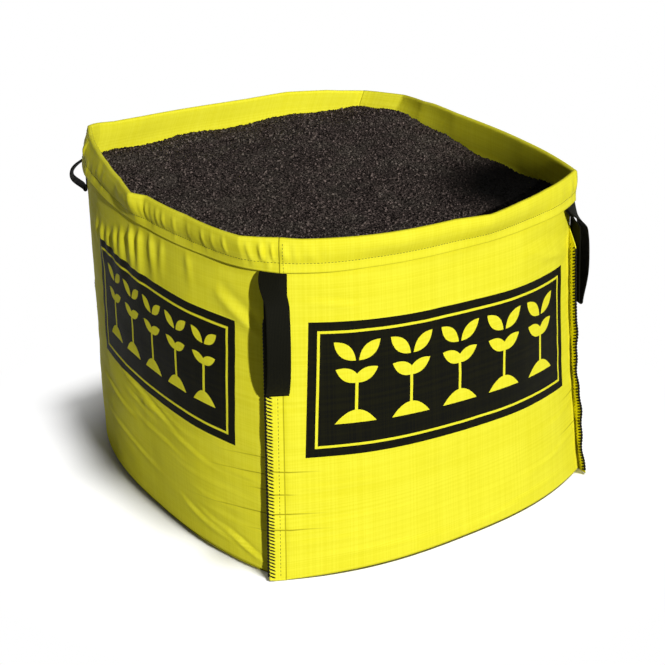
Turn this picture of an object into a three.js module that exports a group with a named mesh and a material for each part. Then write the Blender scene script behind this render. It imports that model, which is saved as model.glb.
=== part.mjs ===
// Open bulk bag of topsoil. A U-shaped cloth panel makes the front, the base and the back, and two side
// panels are sewn to it with seams that stand out at the corners. The top edge is folded outwards into a
// wide hem, which holds a webbing lifting loop at each corner. The soil fills the bag to below the hem.
// Millimetres, +Z up, origin on the floor under the middle of the bag, front towards -Y.
import * as THREE from "three";

// Bag
const PANEL_WIDTH = 900; // between a panel's two seams
const RIM_HEIGHT = 806; // floor to the top edge
const CLOTH = 1.5; // thickness of the woven sheet
const SIDE_POWER = 2.6; // how square a swelling side is: 2 is a plain arc
const MID_SWELL = 10; // extra swell of the walls at half height
const BOTTOM_RADIUS = 32; // fold between wall and base, at the middle of a side
const CORNER_FOLD = 2.5; // the same fold at the corners, where the cloth is pinched

// Hem
const HEM_DEPTH = 75; // top edge to the hem's lower edge
const HEM_ROLL = 8; // radius of the folded top edge
const HEM_PUFF = 3; // swell of the hem between its fold and its stitching
const HEM_STITCH = 22; // stitching above the hem's lower edge
const HEM_LIP = 4; // how far the lower edge stands off below the stitching
const HEM_SLACK = 1.8; // gap under the stitching, away from the corners
const HEM_CORNER_REACH = 150; // length over which the hem rises over the webbing

// Sewn seams
const SEWN_GAP = 0.5; // clearance between sewn layers
const SEAM_ALLOWANCE = 38; // cloth outside the corner seams
const SEAM_TUCK = 1.5; // what is left of it inside the hem and under the base
const SEAM_TAPER = 55; // height over which it narrows behind the webbing
const SEAM_WAVE = 3; // sideways wave of the allowance
const SEAM_WAVE_LENGTH = 230;
const SEAM_SPREAD = 2; // how much further the sewn layers part where they turn under

// Gathers below the hem of the left side, where the rim takes up less length than the panel. They lie
// between two places across the side, given as for its columns.
const GATHER_COUNT = 6;
const GATHER_FROM = -0.52;
const GATHER_TO = 0.18;
const GATHER_DEPTH = 7;
const GATHER_RISE = 60; // below the hem, where they are deepest
const GATHER_REACH = 230; // below the hem, where they end
const HEM_PUCKER = 2.5; // the same gathers where they are caught in the hem's stitching

// Lifting loops
const WEBBING_WIDTH = 50;
const WEBBING = 3; // thickness
const WEBBING_GAP = 0.95; // clearance to the cloth around it
const LOOP_TUCK = 45; // length of webbing sewn under the hem
const LOOP_BEND = 4; // radius of the fold at the loop's end
const LOOP_SETTLE = 60; // height over which the webbing turns from the hem's line to flat

// Soil
const SOIL_LEVEL = 737; // at the walls
const SOIL_GAP = 0.8; // clearance to the cloth
const SOIL_HUMPS = [
  { x: 0, y: 30, rise: 14, reach: 360 },
  { x: 390, y: 310, rise: 22, reach: 220 },
  { x: -350, y: 380, rise: 12, reach: 160 },
  { x: 430, y: -140, rise: -22, reach: 200 },
];
const SOIL_LUMPS = [
  { turn: 20, length: 235, rise: 2.6 },
  { turn: 95, length: 205, rise: 2.6 },
  { turn: 150, length: 260, rise: 2.2 },
];

// Sides in order, turning left from the front, each from its own corner to the next. Sag moves the rim at
// mid-side, and level is the cloth's middle at the floor: the side panels lie on the edges of the base.
const BASE_LEVEL = CLOTH / 2;
const SEWN_LEVEL = BASE_LEVEL + CLOTH + SEWN_GAP;
const SIDES = [
  { floorBulge: 92, rimBulge: 86, sag: -7, level: BASE_LEVEL },
  { floorBulge: 82, rimBulge: 46, sag: 10, level: SEWN_LEVEL },
  { floorBulge: 82, rimBulge: 68, sag: -7, level: BASE_LEVEL },
  { floorBulge: 84, rimBulge: 93, sag: -11, level: SEWN_LEVEL },
];

const [FRONT, RIGHT, BACK, LEFT] = SIDES.keys();

// Seam corners in order, from the front left. Floor and rim say how far the filled bag has moved each one
// from the corner of a true square, x and y. Pinch draws it in at half height, and rise lifts the rim there.
// Lean is the angle of the seam allowance to the side that it follows, in degrees.
const CORNERS = [
  { name: "front_left", sign: [-1, -1], floor: [13, -13], rim: [40, 35], pinch: 2, rise: -6, lean: 28 },
  { name: "front_right", sign: [1, -1], floor: [10, 1], rim: [-55, 30], pinch: 15, rise: -8, lean: 16 },
  { name: "back_right", sign: [1, 1], floor: [-10, 8], rim: [-58, -12], pinch: 8, rise: 1, lean: 26 },
  { name: "back_left", sign: [-1, 1], floor: [21, -9], rim: [16, -9], pinch: 0, rise: 20, lean: 28 },
];

// Each corner's loop. Drop is how far it hangs below the hem, bow is how far its outer leg swings out, and
// lap is how far the webbing reaches past the seam.
const LOOPS = [
  { drop: 275, bow: 40, lap: 12 },
  { drop: 250, bow: 26, lap: 4 },
  { drop: 270, bow: 38, lap: 12 },
  { drop: 100, bow: 34, lap: 8 },
];

// Fineness of the meshes
const HALF_COLUMNS = [-1, -0.94, -0.86, -0.76, -0.65, -0.52, -0.36, -0.18];
const COLUMNS = [...HALF_COLUMNS, 0, ...HALF_COLUMNS.map((v) => -v).reverse()];
const GATHER_COLUMNS = 2 * GATHER_COUNT;
const BASE_ROWS = COLUMNS.filter((v) => Math.abs(v) < 1 && (Math.abs(v) > 0.6 || v === 0));
const ALLOWANCE_STEPS = [1, 0.5];
const ROLL_STEPS = 4;
const HEM_STEPS = 2;
const TAPER_STEPS = 2;
const WALL_STEPS = 5;
const FOLD_STEPS = 3;
const LEG_STEPS = 4; // below where the webbing has turned flat
const BEND_STEPS = 4;
const SOIL_TOP_SCALE = 0.96; // how far the grid on the soil's top is drawn in
const SOIL_TOP_RUN = 85; // plain band of the soil's sides, below its edge

const { lerp, smoothstep, degToRad } = THREE.MathUtils;
const flat = (point, z) => new THREE.Vector3(point.x, point.y, z);
const next = (side) => (side + 1) % SIDES.length;
const before = (side) => (side + SIDES.length - 1) % SIDES.length;

// Plan of the walls

const midHeight = (h) => 4 * h * (1 - h);

function cornerPlan(corner, z) {
  const { sign, floor, rim, pinch } = CORNERS[corner];
  const h = z / RIM_HEIGHT;
  const moved = new THREE.Vector2(...floor).lerp(new THREE.Vector2(...rim), h);
  const place = new THREE.Vector2(...sign).multiplyScalar(PANEL_WIDTH / 2).add(moved);
  return place.setLength(place.length() - pinch * midHeight(h));
}

const swellShape = (v) => 1 - Math.abs(v) ** SIDE_POWER;

// A side's point and outward normal in plan, with v from -1 to 1 between its corners.
function sidePlan(side, v, z) {
  const start = cornerPlan(side, z);
  const end = cornerPlan(next(side), z);
  const chord = end.clone().sub(start);
  const half = chord.length() / 2;
  const along = chord.normalize();
  const out = new THREE.Vector2(along.y, -along.x);
  const h = z / RIM_HEIGHT;
  const bulge = lerp(SIDES[side].floorBulge, SIDES[side].rimBulge, h) + MID_SWELL * midHeight(h);
  const point = start.lerp(end, (1 + v) / 2).addScaledVector(out, bulge * swellShape(v));
  const slope = (-SIDE_POWER * bulge * Math.sign(v) * Math.abs(v) ** (SIDE_POWER - 1)) / half;
  const normal = out.addScaledVector(along, -slope).normalize();
  return { point, normal, half };
}

// Direction that halves the angle of a corner, pointing out.
function bisector(corner, z) {
  const a = sidePlan(before(corner), 1, z).normal;
  const b = sidePlan(corner, -1, z).normal;
  return a.add(b).normalize();
}

// Point of a side moved outwards. Near a corner the move turns to the corner's bisector, with a mitre, so
// that the two sides end on one line.
const MITRE_START = 0.85;
function offsetPlan(side, v, z, out) {
  const { point, normal } = sidePlan(side, v, z);
  const turn = smoothstep(Math.abs(v), MITRE_START, 1);
  if (turn === 0) return point.addScaledVector(normal, out);
  const middle = bisector(v < 0 ? side : next(side), z);
  const mitre = lerp(1, 1 / middle.dot(sidePlan(side, Math.sign(v), z).normal), turn);
  return point.addScaledVector(normal.lerp(middle, turn).normalize(), out * mitre);
}

// Point of the walls moved outwards, at a distance along them from a corner, back along the side before it.
function aroundCorner(corner, distance, z, out) {
  const side = distance > 0 ? before(corner) : corner;
  const v = 1 - Math.abs(distance) / sidePlan(side, 0, z).half;
  return offsetPlan(side, distance > 0 ? v : -v, z, out);
}

const fromCorner = (side, v) => (1 - Math.abs(v)) * sidePlan(side, 0, RIM_HEIGHT).half;

// Section of a wall, from the hem's lower edge over the top and down to the floor

const LEG_INNER = SEAM_TUCK + WEBBING_GAP + WEBBING / 2;
const LEG_OUTER = LEG_INNER + WEBBING + WEBBING_GAP;
const HEM_OVER_WEBBING = LEG_OUTER + WEBBING / 2 + WEBBING_GAP + SEAM_TUCK + CLOTH / 2;
const HEM_ON_WALL = CLOTH + HEM_SLACK;

function topHeight(side, v) {
  const rise = lerp(CORNERS[side].rise, CORNERS[next(side)].rise, (1 + v) / 2);
  return RIM_HEIGHT + rise + SIDES[side].sag * swellShape(v);
}
const cornerLip = (corner) => RIM_HEIGHT + CORNERS[corner].rise - HEM_DEPTH;

// How far the hem's stitching is from the wall: webbing lies under it near the corners.
function stitchOffset(side, v) {
  const lift = 1 - smoothstep(fromCorner(side, v), 1.4 * WEBBING_WIDTH, WEBBING_WIDTH + HEM_CORNER_REACH);
  return lerp(HEM_ON_WALL, HEM_OVER_WEBBING, lift);
}

// Gathers stand out from the wall below the hem, and die away downwards.
function gatherWave(side, v) {
  if (side !== LEFT || v < GATHER_FROM || v > GATHER_TO) return 0;
  const phase = (GATHER_COUNT * (v - GATHER_FROM)) / (GATHER_TO - GATHER_FROM);
  return (1 - Math.cos(2 * Math.PI * phase)) / 2;
}

function gather(side, v, z) {
  const below = topHeight(side, v) - HEM_DEPTH - z;
  const down = smoothstep(below, 0, GATHER_RISE) * (1 - smoothstep(below, GATHER_RISE, GATHER_REACH));
  return GATHER_DEPTH * down * gatherWave(side, v);
}

function sideColumns(side) {
  if (side !== LEFT) return COLUMNS;
  const gathered = [];
  for (let i = 1; i < GATHER_COLUMNS; i++) gathered.push(lerp(GATHER_FROM, GATHER_TO, i / GATHER_COLUMNS));
  const plain = COLUMNS.filter((v) => v <= GATHER_FROM || v >= GATHER_TO);
  return [...plain, ...gathered].sort((a, b) => a - b);
}

const foldRadius = (v) => lerp(BOTTOM_RADIUS, CORNER_FOLD, Math.abs(v) ** 6);

// Each step has its distance out from the wall, its height, and the section's normal towards the outside
// of the cloth, which in the hem is its hidden face.
function section(side, v) {
  const top = topHeight(side, v);
  const lip = top - HEM_DEPTH;
  const stitch = stitchOffset(side, v) + HEM_PUCKER * gatherWave(side, v);
  const steps = [
    { part: "hem", out: stitch + HEM_LIP, z: lip, normal: [-1, 0] },
    { part: "hem", out: stitch, z: lip + HEM_STITCH, normal: [-1, 0] },
  ];
  for (let i = 1; i <= HEM_STEPS; i++) {
    const t = i / (HEM_STEPS + 1);
    const swell = HEM_PUFF * Math.sin(Math.PI * t);
    const out = lerp(stitch, 2 * HEM_ROLL, Math.sin((Math.PI / 2) * t)) + swell;
    steps.push({ part: "hem", out, z: lerp(lip + HEM_STITCH, top - HEM_ROLL, t), normal: [-1, 0] });
  }
  for (let i = ROLL_STEPS; i >= 0; i--) {
    const a = (Math.PI * i) / ROLL_STEPS;
    const out = HEM_ROLL * (1 - Math.cos(a));
    const z = top - HEM_ROLL * (1 - Math.sin(a));
    steps.push({ part: "hem", out, z, normal: [Math.cos(a), -Math.sin(a)] });
  }
  const fold = foldRadius(v);
  const floor = SIDES[side].level;
  const settled = lip - LOOP_SETTLE;
  const narrowed = settled - SEAM_TAPER;
  const heights = [lip, lerp(lip, settled, 0.5), settled];
  for (let i = 1; i <= TAPER_STEPS; i++) heights.push(lerp(settled, narrowed, i / TAPER_STEPS));
  for (let i = 1; i <= WALL_STEPS; i++) heights.push(lerp(narrowed, floor + fold, i / WALL_STEPS));
  for (const z of heights) steps.push({ part: "wall", out: gather(side, v, z), z, normal: [1, 0] });
  for (let i = 1; i <= FOLD_STEPS; i++) {
    const a = ((Math.PI / 2) * i) / FOLD_STEPS;
    const out = -fold * (1 - Math.cos(a));
    const z = floor + fold * (1 - Math.sin(a));
    steps.push({ part: "fold", out, z, under: i / FOLD_STEPS, normal: [Math.cos(a), -Math.sin(a)] });
  }
  return steps;
}

const onWall = (side, v, step) => flat(offsetPlan(side, v, step.z, step.out), step.z);

// Seam allowance at a corner: the cloth past the seam. It follows the line of the side that starts there,
// and leans in a little over the side before. Directions in plan: along it from the seam, and out from it.
function leaning(corner) {
  const chord = cornerPlan(next(corner), 0).sub(cornerPlan(corner, 0)).normalize();
  const face = new THREE.Vector2(chord.y, -chord.x);
  const lean = degToRad(CORNERS[corner].lean);
  const along = chord.clone().multiplyScalar(-Math.cos(lean)).addScaledVector(face, -Math.sin(lean));
  const out = face.multiplyScalar(Math.cos(lean)).addScaledVector(chord, -Math.sin(lean));
  return { along, out };
}

// Below the hem the allowance first turns into line with the webbing, and then widens.
const seamTurn = (corner, z) => smoothstep(cornerLip(corner) - z, 0, LOOP_SETTLE);
const seamOpen = (corner, z) => smoothstep(cornerLip(corner) - z, LOOP_SETTLE, LOOP_SETTLE + SEAM_TAPER);

function seamWave(corner, z) {
  const below = cornerLip(corner) - LOOPS[corner].drop - z;
  const free = smoothstep(below, 0, SEAM_WAVE_LENGTH / 2);
  return SEAM_WAVE * free * Math.sin((2 * Math.PI * below) / SEAM_WAVE_LENGTH);
}

// Columns of a panel past its seam, from the cloth's edge to the seam itself. The layer of the side that
// starts at the corner is the outer one.
function allowance(side, end, step) {
  const corner = end < 0 ? side : next(side);
  const { along, out } = leaning(corner);
  const turn = step.part === "hem" ? 0 : seamTurn(corner, step.z);
  const open = step.part === "hem" ? 0 : seamOpen(corner, step.z);
  const under = step.under ?? 0;
  const middle = bisector(corner, step.z);
  const tuck = new THREE.Vector3(middle.x * step.normal[0], middle.y * step.normal[0], step.normal[1]);
  const reach = tuck.lerp(flat(along, 0), turn).normalize();
  const across = new THREE.Vector3(-middle.y, middle.x, 0);
  const apart = across.lerp(flat(out, 0), turn).normalize();
  const layer = ((corner === side ? 1 : -1) * (CLOTH + SEWN_GAP)) / 2;
  const seam = onWall(side, end, step).addScaledVector(apart, layer * (1 + SEAM_SPREAD * under));
  const width = lerp(SEAM_TUCK, SEAM_ALLOWANCE, open * (1 - under));
  const wave = flat(out, 0).multiplyScalar(seamWave(corner, step.z) * (1 - under));
  const edge = (t) => seam.clone().addScaledVector(reach, width * t).addScaledVector(wave, t);
  return [...ALLOWANCE_STEPS.map(edge), seam];
}

// One row of a panel, across from edge to edge.
function wallRow(side, index) {
  const step = (v) => section(side, v)[index];
  const inner = sideColumns(side).slice(1, -1).map((v) => onWall(side, v, step(v)));
  const start = allowance(side, -1, step(-1));
  const end = allowance(side, 1, step(1)).reverse();
  return [...start, ...inner, ...end];
}

const wallRows = (side) => section(side, 0).map((_, index) => wallRow(side, index));

// Base of the U-shaped panel, between the front's and the back's folds. Its free edges run under the side
// panels' folds, where they are sewn on.

function baseEdge(side, v) {
  const inset = (foldRadius(v) + CORNER_FOLD) / 2;
  return flat(offsetPlan(side, v, 0, -inset), BASE_LEVEL);
}

function baseRows(frontRow, backRow) {
  const skip = ALLOWANCE_STEPS.length;
  const front = frontRow.slice(skip, -skip);
  const back = backRow.slice(skip, -skip).reverse();
  const frontChord = (s) => front[0].clone().lerp(front.at(-1), s);
  const backChord = (s) => back[0].clone().lerp(back.at(-1), s);
  const tucks = (point, way) => ALLOWANCE_STEPS.map((t) => point.clone().setX(point.x + way * SEAM_TUCK * t));
  return BASE_ROWS.map((u) => {
    const t = (1 + u) / 2;
    const left = baseEdge(LEFT, -u);
    const right = baseEdge(RIGHT, u);
    const row = front.map((point, k) => {
      const s = (1 + COLUMNS[k]) / 2;
      const lengthwise = point.clone().lerp(back[k], t);
      const across = left.clone().lerp(right, s);
      return lengthwise.add(across).sub(frontChord(s).lerp(backChord(s), t));
    });
    return [...tucks(row[0], -1), ...row, ...tucks(row.at(-1), 1).reverse()];
  });
}

// A closed sheet of the given thickness about a grid of points, rows by columns. Both halves of a row are
// split into triangles the same way, so that sewn layers keep their distance.
function sheet(rows, thickness) {
  const height = rows.length;
  const width = rows[0].length;
  const step = (a, b) => (a && b ? b.clone().sub(a).normalize() : new THREE.Vector3());
  const outer = [];
  const inner = [];
  rows.forEach((row, i) =>
    row.forEach((point, j) => {
      const across = step(row[j - 1], point).add(step(point, row[j + 1]));
      const down = step(rows[i - 1]?.[j], point).add(step(point, rows[i + 1]?.[j]));
      const normal = down.cross(across).normalize();
      outer.push(point.clone().addScaledVector(normal, thickness / 2));
      inner.push(point.clone().addScaledVector(normal, -thickness / 2));
    }),
  );
  const at = (i, j) => i * width + j;
  const back = height * width;
  const index = [];
  for (let i = 0; i < height - 1; i++)
    for (let j = 0; j < width - 1; j++) {
      const [a, b, c, d] = [at(i, j), at(i + 1, j), at(i + 1, j + 1), at(i, j + 1)];
      const falling = rows[i][j].z >= rows[i + 1][j].z;
      const halves = falling === j < (width - 1) / 2 ? [a, b, c, a, c, d] : [b, c, d, b, d, a];
      index.push(...halves, ...halves.map((k) => back + k).reverse());
    }
  const border = [];
  for (let j = 0; j < width - 1; j++) border.push(at(0, j));
  for (let i = 0; i < height - 1; i++) border.push(at(i, width - 1));
  for (let j = width - 1; j > 0; j--) border.push(at(height - 1, j));
  for (let i = height - 1; i > 0; i--) border.push(at(i, 0));
  border.forEach((a, k) => {
    const b = border[(k + 1) % border.length];
    index.push(b, back + b, back + a, b, back + a, a);
  });
  const geometry = new THREE.BufferGeometry().setFromPoints([...outer, ...inner]);
  geometry.setIndex(index);
  return geometry;
}

function uPanel() {
  const front = wallRows(FRONT);
  const back = wallRows(BACK);
  const base = baseRows(front.at(-1), back.at(-1));
  const backUpwards = back.map((row) => row.slice().reverse()).reverse();
  return sheet([...front, ...base, ...backUpwards], CLOTH);
}

const sidePanel = (side) => sheet(wallRows(side), CLOTH);

// Lifting loop: one length of webbing with both ends sewn under the hem, hanging in front of the seam.
// Its path gives the distance out from the seam and the height above the hem's lower edge.
function loopPath({ drop, bow }) {
  const rest = CLOTH + SEWN_GAP / 2 + WEBBING_GAP + WEBBING / 2;
  const straight = drop - LOOP_BEND;
  const falls = [0, LOOP_SETTLE / 2];
  for (let i = 0; i <= LEG_STEPS; i++) falls.push(lerp(LOOP_SETTLE, straight, i / LEG_STEPS));
  const outerLeg = falls.map((fall) => {
    const swing = bow * Math.sin((Math.PI * fall) / straight) ** 1.2;
    return { out: lerp(LEG_OUTER, rest + 2 * LOOP_BEND, fall / straight) + swing, up: -fall };
  });
  const innerLeg = falls.map((fall) => {
    return { out: lerp(LEG_INNER, rest, smoothstep(fall, 0, LOOP_SETTLE)), up: -fall };
  });
  const bend = [];
  for (let i = 1; i < BEND_STEPS; i++) {
    const a = (Math.PI * i) / BEND_STEPS;
    bend.push({ out: rest + LOOP_BEND * (1 + Math.cos(a)), up: -straight - LOOP_BEND * Math.sin(a) });
  }
  const start = { out: LEG_OUTER, up: LOOP_TUCK };
  const end = { out: LEG_INNER, up: LOOP_TUCK };
  return [start, ...outerLeg, ...bend, ...innerLeg.reverse(), end];
}

// Behind the hem it bends round the corner, and below it hangs flat, so one of its lines is on the seam.
function liftingLoop(corner) {
  const lean = leaning(corner);
  const { lap } = LOOPS[corner];
  const far = WEBBING_WIDTH - lap;
  const rows = loopPath(LOOPS[corner]).map(({ out, up }) => {
    const z = cornerLip(corner) + up;
    const settle = smoothstep(-up, 0, LOOP_SETTLE);
    return [far, far / 2, 0, -lap].map((across) => {
      const behindHem = aroundCorner(corner, across, z, out);
      const hanging = cornerPlan(corner, z);
      hanging.addScaledVector(lean.along, across).addScaledVector(lean.out, out);
      return flat(behindHem.lerp(hanging, settle), z);
    });
  });
  return sheet(rows, WEBBING);
}

// Soil: loops of points up the inside of the walls, with a lumpy grid over the top

function soilHeight(x, y) {
  const hump = (h) => h.rise * Math.exp(-((x - h.x) ** 2 + (y - h.y) ** 2) / h.reach ** 2);
  const lump = ({ turn, length, rise }) => {
    const along = x * Math.cos(degToRad(turn)) + y * Math.sin(degToRad(turn));
    return rise * Math.sin((2 * Math.PI * along) / length);
  };
  const humps = SOIL_HUMPS.reduce((sum, h) => sum + hump(h), SOIL_LEVEL);
  return SOIL_LUMPS.reduce((sum, l) => sum + lump(l), humps);
}

const SOIL_INSET = CLOTH / 2 + SOIL_GAP;
const SOIL_COLUMNS = COLUMNS.slice(1, -1);
const soilPlaces = SIDES.flatMap((_, side) => SOIL_COLUMNS.map((v) => ({ side, v })));

// The soil's points against one step of the walls' section.
function soilLoop(index) {
  return soilPlaces.map(({ side, v }) => {
    const { part, out, z, normal } = section(side, v)[index];
    const wall = part === "wall" ? 0 : out;
    return flat(offsetPlan(side, v, z, wall - SOIL_INSET * normal[0]), z - SOIL_INSET * normal[1]);
  });
}

// The edge of the soil's top, found at its own height on the leaning walls.
function soilEdge() {
  return soilPlaces.map(({ side, v }) => {
    const guess = offsetPlan(side, v, SOIL_LEVEL, -SOIL_INSET);
    const z = soilHeight(guess.x, guess.y);
    return flat(offsetPlan(side, v, z, -SOIL_INSET), z);
  });
}

// The top's grid, stretched between the four edges and drawn in from them, row by row from the front.
function soilTop(edge) {
  const many = SOIL_COLUMNS.length;
  const along = (side) => edge.slice(side * many, (side + 1) * many);
  const [front, right] = [along(FRONT), along(RIGHT)];
  const [back, left] = [along(BACK).reverse(), along(LEFT).reverse()];
  return SOIL_COLUMNS.flatMap((u, j) =>
    SOIL_COLUMNS.map((v, i) => {
      const lengthwise = front[i].clone().lerp(back[i], (1 + u) / 2);
      const across = left[j].clone().lerp(right[j], (1 + v) / 2);
      const { x, y } = lengthwise.lerp(across, 0.5).multiplyScalar(SOIL_TOP_SCALE);
      return new THREE.Vector3(x, y, soilHeight(x, y));
    }),
  );
}

function soil() {
  const steps = section(FRONT, 0);
  const edge = soilEdge();
  const floor = CLOTH + SOIL_GAP;
  const underside = soilLoop(steps.length - 1).map((p) => new THREE.Vector3(p.x * 0.97, p.y * 0.97, floor));
  const loops = [underside];
  for (let i = steps.length - 1; steps[i].part !== "hem"; i--) {
    const loop = soilLoop(i);
    if (loop.every((p, k) => p.z < edge[k].z - SOIL_TOP_RUN)) loops.push(loop);
  }
  loops.push(edge);
  const points = [...loops.flat(), ...soilTop(edge), new THREE.Vector3(0, 0, floor)];
  const bottom = points.length - 1;
  const count = edge.length;
  const last = (loops.length - 1) * count;
  const many = SOIL_COLUMNS.length;
  const grid = (i, j) => last + count + j * many + i;
  const places = [...SOIL_COLUMNS.keys()];
  const backwards = places.slice().reverse();
  const rim = [
    ...places.map((i) => grid(i, 0)),
    ...places.map((j) => grid(many - 1, j)),
    ...backwards.map((i) => grid(i, many - 1)),
    ...backwards.map((j) => grid(0, j)),
  ];
  const index = [];
  for (let k = 0; k < count; k++) {
    const l = (k + 1) % count;
    index.push(bottom, l, k);
    for (let i = 0; i < last; i += count) {
      const [a, b, c, d] = [i + k, i + l, i + count + l, i + count + k];
      index.push(a, b, c, a, c, d);
    }
    index.push(last + k, last + l, rim[l]);
    if (rim[k] !== rim[l]) index.push(last + k, rim[l], rim[k]);
  }
  for (let j = 0; j < many - 1; j++)
    for (let i = 0; i < many - 1; i++) {
      const [a, b, c, d] = [grid(i, j), grid(i + 1, j), grid(i + 1, j + 1), grid(i, j + 1)];
      index.push(a, b, c, a, c, d);
    }
  const geometry = new THREE.BufferGeometry().setFromPoints(points);
  geometry.setIndex(index);
  return geometry;
}

// Assembly

const bagCloth = new THREE.MeshStandardMaterial({ color: 0xf2ea1e, roughness: 0.55, metalness: 0 });
const blackWebbing = new THREE.MeshStandardMaterial({ color: 0x17170f, roughness: 0.8, metalness: 0 });
const darkSoil = new THREE.MeshStandardMaterial({ color: 0x3a322e, roughness: 1, metalness: 0 });

const bag = new THREE.Group();
function add(name, geometry, material) {
  geometry.computeVertexNormals();
  const mesh = new THREE.Mesh(geometry, material);
  mesh.name = name;
  bag.add(mesh);
}

add("u_panel", uPanel(), bagCloth);
add("right_side_panel", sidePanel(RIGHT), bagCloth);
add("left_side_panel", sidePanel(LEFT), bagCloth);
CORNERS.forEach(({ name }, corner) => add(`${name}_lifting_loop`, liftingLoop(corner), blackWebbing));
add("topsoil", soil(), darkSoil);

export default bag;
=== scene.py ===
import math

import bpy
import numpy as np
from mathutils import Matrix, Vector


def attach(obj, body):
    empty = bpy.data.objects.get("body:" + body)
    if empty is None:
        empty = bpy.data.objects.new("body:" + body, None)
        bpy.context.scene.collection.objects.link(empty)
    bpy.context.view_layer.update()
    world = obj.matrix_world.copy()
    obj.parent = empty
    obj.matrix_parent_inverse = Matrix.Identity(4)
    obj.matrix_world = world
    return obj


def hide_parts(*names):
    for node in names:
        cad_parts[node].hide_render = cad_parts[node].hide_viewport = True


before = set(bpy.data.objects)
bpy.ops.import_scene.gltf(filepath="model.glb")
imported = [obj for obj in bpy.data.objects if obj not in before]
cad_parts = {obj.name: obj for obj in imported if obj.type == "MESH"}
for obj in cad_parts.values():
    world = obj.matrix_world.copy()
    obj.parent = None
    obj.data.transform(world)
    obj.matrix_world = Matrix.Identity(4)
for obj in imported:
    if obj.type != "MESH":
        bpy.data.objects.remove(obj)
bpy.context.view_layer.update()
scene = bpy.context.scene

# Viewpoint: someone standing a few steps away, in front of the bag and to its left, who looks down at it
# through a long lens.
VIEW_AZIMUTH = math.radians(-34.43)
VIEW_ELEVATION = math.radians(23.99)
VIEW_DISTANCE = 3.8314
VIEW_LENS = 82.61
VIEW_HEIGHT = 0.4
VIEW_RIGHT = 0.0049
VIEW_DOWN = 0.0657

view_back = Vector(
    (
        math.sin(VIEW_AZIMUTH) * math.cos(VIEW_ELEVATION),
        -math.cos(VIEW_AZIMUTH) * math.cos(VIEW_ELEVATION),
        math.sin(VIEW_ELEVATION),
    )
)
view_right = Vector((math.cos(VIEW_AZIMUTH), math.sin(VIEW_AZIMUTH), 0))
view_up = view_back.cross(view_right)
view_target = Vector((0, 0, VIEW_HEIGHT)) + VIEW_RIGHT * view_right - VIEW_DOWN * view_up
camera = bpy.data.objects.new("camera", bpy.data.cameras.new("camera"))
camera.data.lens = VIEW_LENS
camera.data.sensor_width = 36
camera.location = view_target + VIEW_DISTANCE * view_back
camera.rotation_euler = (-view_back).to_track_quat("-Z", "Y").to_euler()
scene.collection.objects.link(camera)
scene.camera = camera

# Walls of the filled bag: four panels of woven sheet, sewn at the corners and pushed out by the soil. In
# plan each side swells between its two seams, and the top edge stands a little inside the foot.
MM = 0.001
PANEL_WIDTH = 900 * MM
RIM_HEIGHT = 806 * MM
FRONT, RIGHT, BACK, LEFT = range(4)
SIDE_POWER = 2.6
MID_SWELL = 10 * MM
FLOOR_BULGE = np.array([92, 82, 82, 84]) * MM
RIM_BULGE = np.array([86, 46, 68, 93]) * MM
RIM_SAG = np.array([-7, 10, -7, -11]) * MM
CORNER_SIGN = np.array([(-1, -1), (1, -1), (1, 1), (-1, 1)])
FLOOR_MOVED = np.array([(13, -13), (10, 1), (-10, 8), (21, -9)]) * MM
RIM_MOVED = np.array([(40, 35), (-55, 30), (-58, -12), (16, -9)]) * MM
RIM_TIPPED = np.array([(0, 0), (0, 0), (12, -12), (19, -3)]) * MM
TIP_START, TIP_END = 0.92, 1.01
CORNER_PINCH = np.array([2, 15, 8, 0]) * MM
CORNER_RISE = np.array([-6, -8, 1, 20]) * MM
MITRE_START = 0.85


def mix(a, b, t):
    return a + (b - a) * t


def ease(x, low, high):
    """A smooth step from 0 at low to 1 at high."""
    t = np.clip((x - low) / (high - low), 0, 1)
    return t * t * (3 - 2 * t)


def unit(p):
    return p / np.linalg.norm(p, axis=-1, keepdims=True)


def seam_corner(corner, z):
    """A corner seam's place in plan at the heights z."""
    corner = corner % 4
    h = (z / RIM_HEIGHT)[..., None]
    place = CORNER_SIGN[corner] * PANEL_WIDTH / 2 + mix(FLOOR_MOVED[corner], RIM_MOVED[corner], h)
    place = place + RIM_TIPPED[corner] * ease(h, TIP_START, TIP_END)
    reach = np.linalg.norm(place, axis=-1, keepdims=True)
    return place * (1 - CORNER_PINCH[corner] * 4 * h * (1 - h) / reach)


def swelling(v):
    return 1 - np.abs(v) ** SIDE_POWER


def wall_line(side, v, z):
    """Points and outward normals of a side in plan, v from -1 to 1 between its seams."""
    start, end = seam_corner(side, z), seam_corner(side + 1, z)
    half = np.linalg.norm(end - start, axis=-1) / 2
    along = unit(end - start)
    out = np.stack([along[..., 1], -along[..., 0]], -1)
    h = z / RIM_HEIGHT
    bulge = mix(FLOOR_BULGE[side], RIM_BULGE[side], h) + MID_SWELL * 4 * h * (1 - h)
    point = start + (end - start) * ((1 + v) / 2)[..., None] + out * (bulge * swelling(v))[..., None]
    slope = -SIDE_POWER * bulge * np.sign(v) * np.abs(v) ** (SIDE_POWER - 1) / half
    return point, unit(out - along * slope[..., None])


def corner_middle(corner, z):
    """Direction out of a corner that halves its angle."""
    one = np.ones_like(z)
    before = wall_line((corner - 1) % 4, one, z)[1]
    return unit(before + wall_line(corner % 4, -one, z)[1])


def stand_off(side, v, z, out):
    """Points of a side moved outwards, with a mitre where two sides meet."""
    point, normal = wall_line(side, v, z)
    turn = ease(np.abs(v), MITRE_START, 1)
    starts = (v < 0)[..., None]
    middle = np.where(starts, corner_middle(side, z), corner_middle(side + 1, z))
    at_seam = wall_line(side, np.where(v < 0, -1.0, 1.0), z)[1]
    mitre = mix(1, 1 / (middle * at_seam).sum(-1), turn)
    way = unit(mix(normal, middle, turn[..., None]))
    return np.concatenate([point + way * (out * mitre)[..., None], z[..., None]], -1)


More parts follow.
